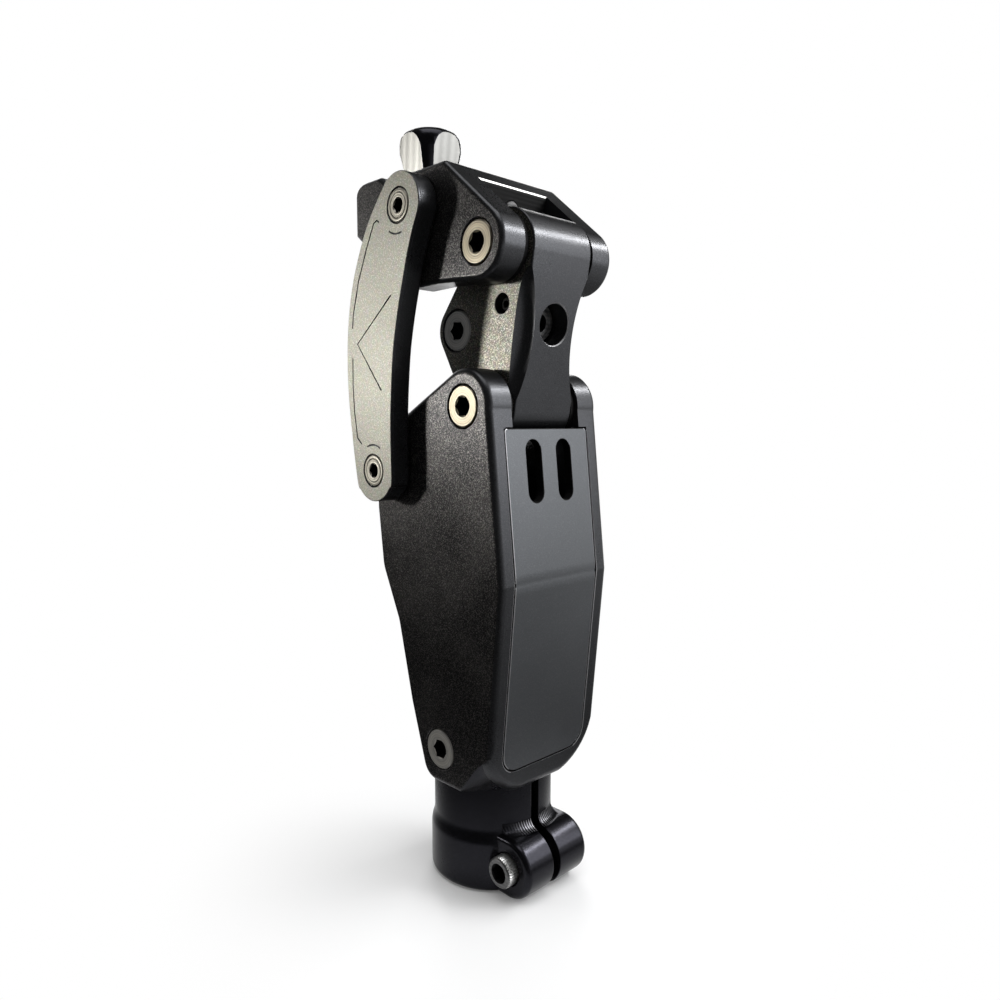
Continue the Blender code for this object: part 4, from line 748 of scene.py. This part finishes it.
for label, side in SIDES:
    x0, x1 = sorted((side * 0.0236, side * 0.02985))
    black = plate("side_link_plate_" + label, crescent, x0, x1, (0.0013, 0.0001)[::int(side)], 5)
    x0, x1 = sorted((side * 0.0299, side * OUTSIDE))
    bright = plate("side_link_face_" + label, crescent, x0, x1, (0.0, 0.0003)[::int(side)], 3)
    for pivot in (FRONT_TOP, FRONT_LOW):
        for target in (black, bright):
            shape(target, "DIFFERENCE",
                  turned("link_seat", [(0.0, 0.0100), (0.0043, 0.0100), (0.0043, 0.0286), (0.0050, 0.0296),
                                       (0.0050, 0.0306), (0.0053, 0.0309), (0.0053, 0.0400), (0.0, 0.0400)],
                         (0.0, pivot[0], pivot[1]), (side, 0.0, 0.0), 56))
    grooves = []
    for n, line in enumerate(engraved):
        left, right = [], []
        for i in range(len(line)):
            a, b = Vector(line[max(0, i - 1)]), Vector(line[min(len(line) - 1, i + 1)])
            across = Vector((a.y - b.y, b.x - a.x)).normalized() * 0.00026
            left.append((Vector(line[i]) + across)[:])
            right.append((Vector(line[i]) - across)[:])
        x0, x1 = sorted((side * 0.03045, side * 0.0330))
        grooves.append(plate("groove_" + str(n), left + right[::-1], x0, x1))
    shape(bright, "DIFFERENCE", *grooves)
    dress(black, "side_links", ["side_link_" + label], [SATIN])
    dress(bright, "side_links", ["face_plate_" + label], [SILVER, SATIN],
          lambda c, n: 0 if abs(c.x) > 0.03050 and abs(n.x) > 0.94 else 1)

# Tube clamp: a turned neck with a split collar and two ears, the fillet between them cut
# with a ball mill, glossy black; a knurled cap screw pulls the ears together.
EAR = (0.0190, -0.0185)  # axis of the cap screw
SLIT = 0.0015  # half width of the slit between the ears
clamp = turned("tube_clamp_body",
               [(0.0, 0.0051), (0.0188, 0.0051), (0.0188, -0.0080), (0.0189, -0.0092), (0.0192, -0.0105),
                (0.0196, -0.0118), (0.0198, -0.0132), (0.0198, -0.0257), (0.0196, -0.0266), (0.0191, -0.0272),
                (0.0180, -0.0275), (0.0, -0.0275)], (0.0, 0.0, 0.0), (0.0, 0.0, 1.0), 128)
ears = plate("ears", spaced(hull(arc(EAR, 0.0092, -100.0, 90.0, 44) + [(0.0100, -0.0093), (0.0100, -0.0275)]),
                            0.0002), -0.0140, 0.0125, 0.0018, 5)
fillet = turned("ball_milled_fillet", [(0.0150, -0.0105)] + arc((0.0220, -0.0061), 0.0032, 270.0, 180.0, 12)
                + [(0.0150, -0.0061)], (0.0, 0.0, 0.0), (0.0, 0.0, 1.0), 128, True)


def strip(name, half, near, low, high):
    """Plain upright cutter of a half width, from near the middle out to the back."""
    return plate(name, [(-half, near), (half, near), (half, 0.04), (-half, 0.04)], low, high, 0.0, 1, "Z")


shape(fillet, "INTERSECT", strip("fillet_part", 0.0108, 0.0, -0.02, 0.02))
shape(clamp, "UNION", ears, fillet)
cutters = [turned("tube_bore", [(0.0, -0.05), (0.0151, -0.05), (0.0151, -0.0006), (0.0145, 0.0), (0.0, 0.0)],
                  (0.0, 0.0, 0.0), (0.0, 0.0, 1.0), 96),
           strip("slit", SLIT, 0.0, -0.05, -0.0002), strip("slit_up", SLIT, 0.013, -0.0004, 0.0080),
           bar("screw_bore", EAR, 0.0033), bar("head_seat", EAR, 0.0052, 0.0103)]
for label, side in SIDES:
    cutters.append(turned("neck_thread_" + label,
                          [(0.0, 0.0004), (0.0028, 0.0004), (0.0028, 0.01), (0.0, 0.01)],
                          (side * NECK_SCREW[0], NECK_SCREW[1], 0.0), (0.0, 0.0, 1.0), 32))
shape(clamp, "DIFFERENCE", *cutters)
soften(clamp, lambda c: abs(abs(c.x) - SLIT) < 0.00005 and Vector((c.y, c.x)).length > 0.0183
       and c.z < 0.0045, 0.0003, 2)
MILLED, milled_shader, w = new_material("ball_milled_black")
milled_place = w.node("ShaderNodeTexCoord", None, None, 3)
across = w.node("ShaderNodeSeparateXYZ", None, {0: milled_place}, 0)
scallops = w.sum("SINE", across * 7400.0) * 0.5 + 0.5
# The crests of the scallops are painted bright near the slit, fading away from it: a painted highlight.
highlight_near_slit = 1.0 - w.sum("ABSOLUTE", across).between(0.0030, 0.0095)
crest_highlight = scallops.between(0.60, 1.0) * highlight_near_slit
link(spread(w, crest_highlight, (0.020, 0.020, 0.024), (0.24, 0.24, 0.25)), milled_shader, "Base Color")
link(0.22 + crest_highlight * 0.16, milled_shader, "Roughness")
milled_shader.inputs["Metallic"].default_value = 0.9
link(w.node("ShaderNodeBump", None, {"Strength": 0.6, "Distance": 0.00006, "Height": scallops}),
     milled_shader, "Normal")
dress(clamp, "frame", ["tube_clamp"], [GLOSS, MILLED],
      lambda c, n: 1 if c.y > 0.010 and -0.0096 < c.z < -0.0060 and 0.15 < n.z < 0.985
      and 0.0186 < math.hypot(c.x, c.y) < 0.0224 and abs(c.x) < 0.0119 else 0)

knurl = [(EAR[0] + r * math.cos(a), EAR[1] + r * math.sin(a)) for a, r in
         ((math.pi * k / 38.0, 0.00465 if k % 2 else 0.00438) for k in range(76))]
cap = plate("clamp_cap_screw", knurl, 0.0105, 0.0163)
CAP_END = 0.0160
cap_form = turned("cap_form", [(0.0, 0.0100), (0.0047, 0.0100), (0.0047, 0.0153), (0.0043, 0.0158),
                               (0.0040, CAP_END), (0.0, CAP_END)], (0.0, EAR[0], EAR[1]), (1.0, 0.0, 0.0), 80)
shape(cap, "INTERSECT", cap_form)
cap_shank = turned("cap_shank", [(0.0, -0.0115), (0.0026, -0.0115), (0.0030, -0.0111), (0.0030, 0.0110),
                                 (0.0, 0.0110)], (0.0, EAR[0], EAR[1]), (1.0, 0.0, 0.0), 40)
shape(cap, "UNION", cap_shank)


def hex_socket(name, pivot, side, face, half, deep):
    """Cutter for a hexagonal socket with a small cone at its mouth."""
    x0, x1 = sorted((side * (face - deep), side * (face + 0.002)))
    cutter = plate(name, arc(pivot, half / math.cos(math.radians(30.0)), 0.0, 300.0, 5), x0, x1)
    cone = turned(name + "_mouth", [(0.0, face - 0.0004), (half * 1.02, face - 0.0004), (half * 1.19, face),
                                    (half * 1.19, face + 0.002), (0.0, face + 0.002)],
                  (0.0, pivot[0], pivot[1]), (side, 0.0, 0.0), 48)
    return shape(cutter, "UNION", cone)


shape(cap, "DIFFERENCE", hex_socket("cap_socket", EAR, 1.0, CAP_END, 0.0025, 0.0034))
CAP_STEEL = machined("knurled_steel", (0.60, 0.60, 0.59), 0.30, EAR, 4200.0, 0.2)


def cap_finish(c, n):
    """Painted shade inside the socket, grey on the end face, bright on the knurled side."""
    if 0.0120 < c.x < CAP_END - 0.00004 and math.dist((c.y, c.z), EAR) < 0.00295:
        return 1
    return 2 if c.x > 0.0155 else 0


dress(cap, "frame", ["clamp_screw"], [CAP_STEEL, SHADE_BLACK, GREY_STEEL], cap_finish, 20.0)

# Flush bolts of the pivots: turned heads with fine rings, a chamfered rim and a hexagonal socket painted
# near-black as shade; warm bare steel at the rear pivots and links, dark grey at the rod pin and the foot.
WARM_STEEL = (0.27, 0.245, 0.195)
BOLT_RADIUS, BOLT_SOCKET = 0.0060, 0.0026
bolts = [("lower_rear_bolt", REAR_LOW, HALF, 0.0042, "frame", WARM_STEEL, 0.34, 1.0),
         ("upper_rear_bolt", REAR_TOP, HALF, 0.0042, "head", WARM_STEEL, 0.34, 1.0),
         ("cylinder_bolt", FOOT, HALF, 0.0042, "frame", (0.20, 0.195, 0.185), 0.40, 0.30),
         ("mid_bolt", ROD_PIN, LINK_HALF, 0.0032, "rear_link_body", (0.20, 0.20, 0.20), 0.42, 0.30)]
for name, pivot, face, deep, rides, colour, rough, metal in bolts:
    steel = machined(name + "_steel", colour, rough, pivot, 9500.0, 0.30, (1.0, 0.98, 0.92), metal)
    for label, side in SIDES:
        made = turned(name + "_head_" + label,
                      [(0.0, face - deep), (BOLT_RADIUS, face - deep), (BOLT_RADIUS, face - 0.0004),
                       (BOLT_RADIUS - 0.0001, face - 0.0002), (BOLT_RADIUS - 0.0004, face), (0.0, face)],
                      (0.0, pivot[0], pivot[1]), (side, 0.0, 0.0), 64)
        shape(made, "DIFFERENCE", hex_socket("socket", pivot, side, face, BOLT_SOCKET, deep * 0.7))
        dress(made, rides, [name + "_" + label], [steel, SHADE_BLACK], lambda c, n:
              1 if math.dist((c.y, c.z), pivot) < BOLT_SOCKET * 1.15 and abs(c.x) < face - 0.00042 else 0)
for name, pivot, start in (("upper", FRONT_TOP, 0.0237), ("lower", FRONT_LOW, 0.0154)):
    steel = machined("link_bolt_" + name + "_steel", (0.34, 0.325, 0.28), 0.36, pivot, 8000.0, 0.45)
    for label, side in SIDES:
        made = turned("link_bolt_head_" + name + "_" + label,
                      [(0.0, start), (0.0037, start), (0.0040, start + 0.0003), (0.0040, 0.0287),
                       (0.0048, 0.0296), (0.0048, 0.0305), (0.0045, OUTSIDE), (0.0037, OUTSIDE),
                       (0.0035, 0.03065), (0.0033, OUTSIDE), (0.0, OUTSIDE)],
                      (0.0, pivot[0], pivot[1]), (side, 0.0, 0.0), 64)
        shape(made, "DIFFERENCE", hex_socket("socket", pivot, side, OUTSIDE, 0.0019, 0.0026))
        dress(made, "side_links", ["link_bolt_" + name + "_" + label], [steel, SHADE_BLACK],
              lambda c, n: 1 if math.dist((c.y, c.z), pivot) < 0.0022 and abs(c.x) < 0.0304 else 0)

# Thrust washers beside the rear link: dark hardened rings with a fine bevelled edge, one on each side of its
# two pivots, painted near-black also as the shade of the narrow gaps they sit in.
for name, pivot, rides in (("lower", REAR_LOW, "frame"), ("upper", REAR_TOP, "head")):
    for label, side in SIDES:
        ring = turned(name + "_thrust_ring_" + label,
                      [(0.0048, 0.0123), (0.0094, 0.0123), (0.0096, 0.0125), (0.0096, 0.0137),
                       (0.0094, 0.0139), (0.0048, 0.0139)],
                      (0.0, pivot[0], pivot[1]), (side, 0.0, 0.0), 72, True)
        dress(ring, rides, [name + "_washer_" + label], [SHADE_BLACK])

# Pyramid adapter: turned black steel with four flats ground bright, which lean inwards
# towards the base; its spigot is let into the head's top.
base = 0.1881
FLAT_OUT = 0.00637  # from the pyramid's axis to the foot of a flat
pyramid = turned("pyramid_adapter",
                 [(0.0, 0.1831), (0.0060, 0.1831), (0.0060, base), (0.0128, base), (0.0128, base + 0.0010),
                  (0.0126, base + 0.0013), (0.0116, base + 0.0022), (0.0090, base + 0.0029),
                  (0.0082, base + 0.0034), (0.0078, base + 0.0044), (0.0100, 0.2018), (0.0100, 0.2046),
                  (0.0097, 0.2060), (0.0090, 0.2071), (0.0077, 0.2079), (0.0060, 0.2083), (0.0, 0.2084)],
                 (0.0, PYRAMID_Y, 0.0), (0.0, 0.0, 1.0), 96)
cutters = []
for i in range(4):
    out_dir = Vector((math.cos(math.radians(90.0 * i)), math.sin(math.radians(90.0 * i)), 0.0))
    across = Vector((-out_dir.y, out_dir.x, 0.0))
    lean = Matrix.Rotation(math.radians(12.0), 3, across) @ out_dir
    rise = Matrix.Rotation(math.radians(12.0), 3, across) @ Vector((0.0, 0.0, 1.0))
    grind = bmesh.new()
    bmesh.ops.create_cube(grind, size=1.0)
    bmesh.ops.scale(grind, verts=grind.verts, vec=(0.0100, 0.0240, 0.0226))
    bmesh.ops.translate(grind, verts=grind.verts, vec=(0.0050, 0.0, 0.0107))
    bmesh.ops.rotate(grind, verts=grind.verts, cent=(0.0, 0.0, 0.0),
                     matrix=Matrix((lean, across, rise)).transposed())
    bmesh.ops.translate(grind, verts=grind.verts,
                        vec=Vector((0.0, PYRAMID_Y, base + 0.0040)) + out_dir * FLAT_OUT)
    cutters.append(new_object("grind_" + str(i), grind))
shape(pyramid, "DIFFERENCE", *cutters)
GROUND = machined("ground_flats", (0.30, 0.298, 0.285), 0.34, None, 2600.0, 0.30, along=(0.75, -0.75, 0.10))
dress(pyramid, "head", ["pyramid"], [GLOSS, GROUND],
      lambda c, n: 1 if max(abs(n.x), abs(n.y)) > 0.96 and -0.30 < n.z < -0.12 else 0)
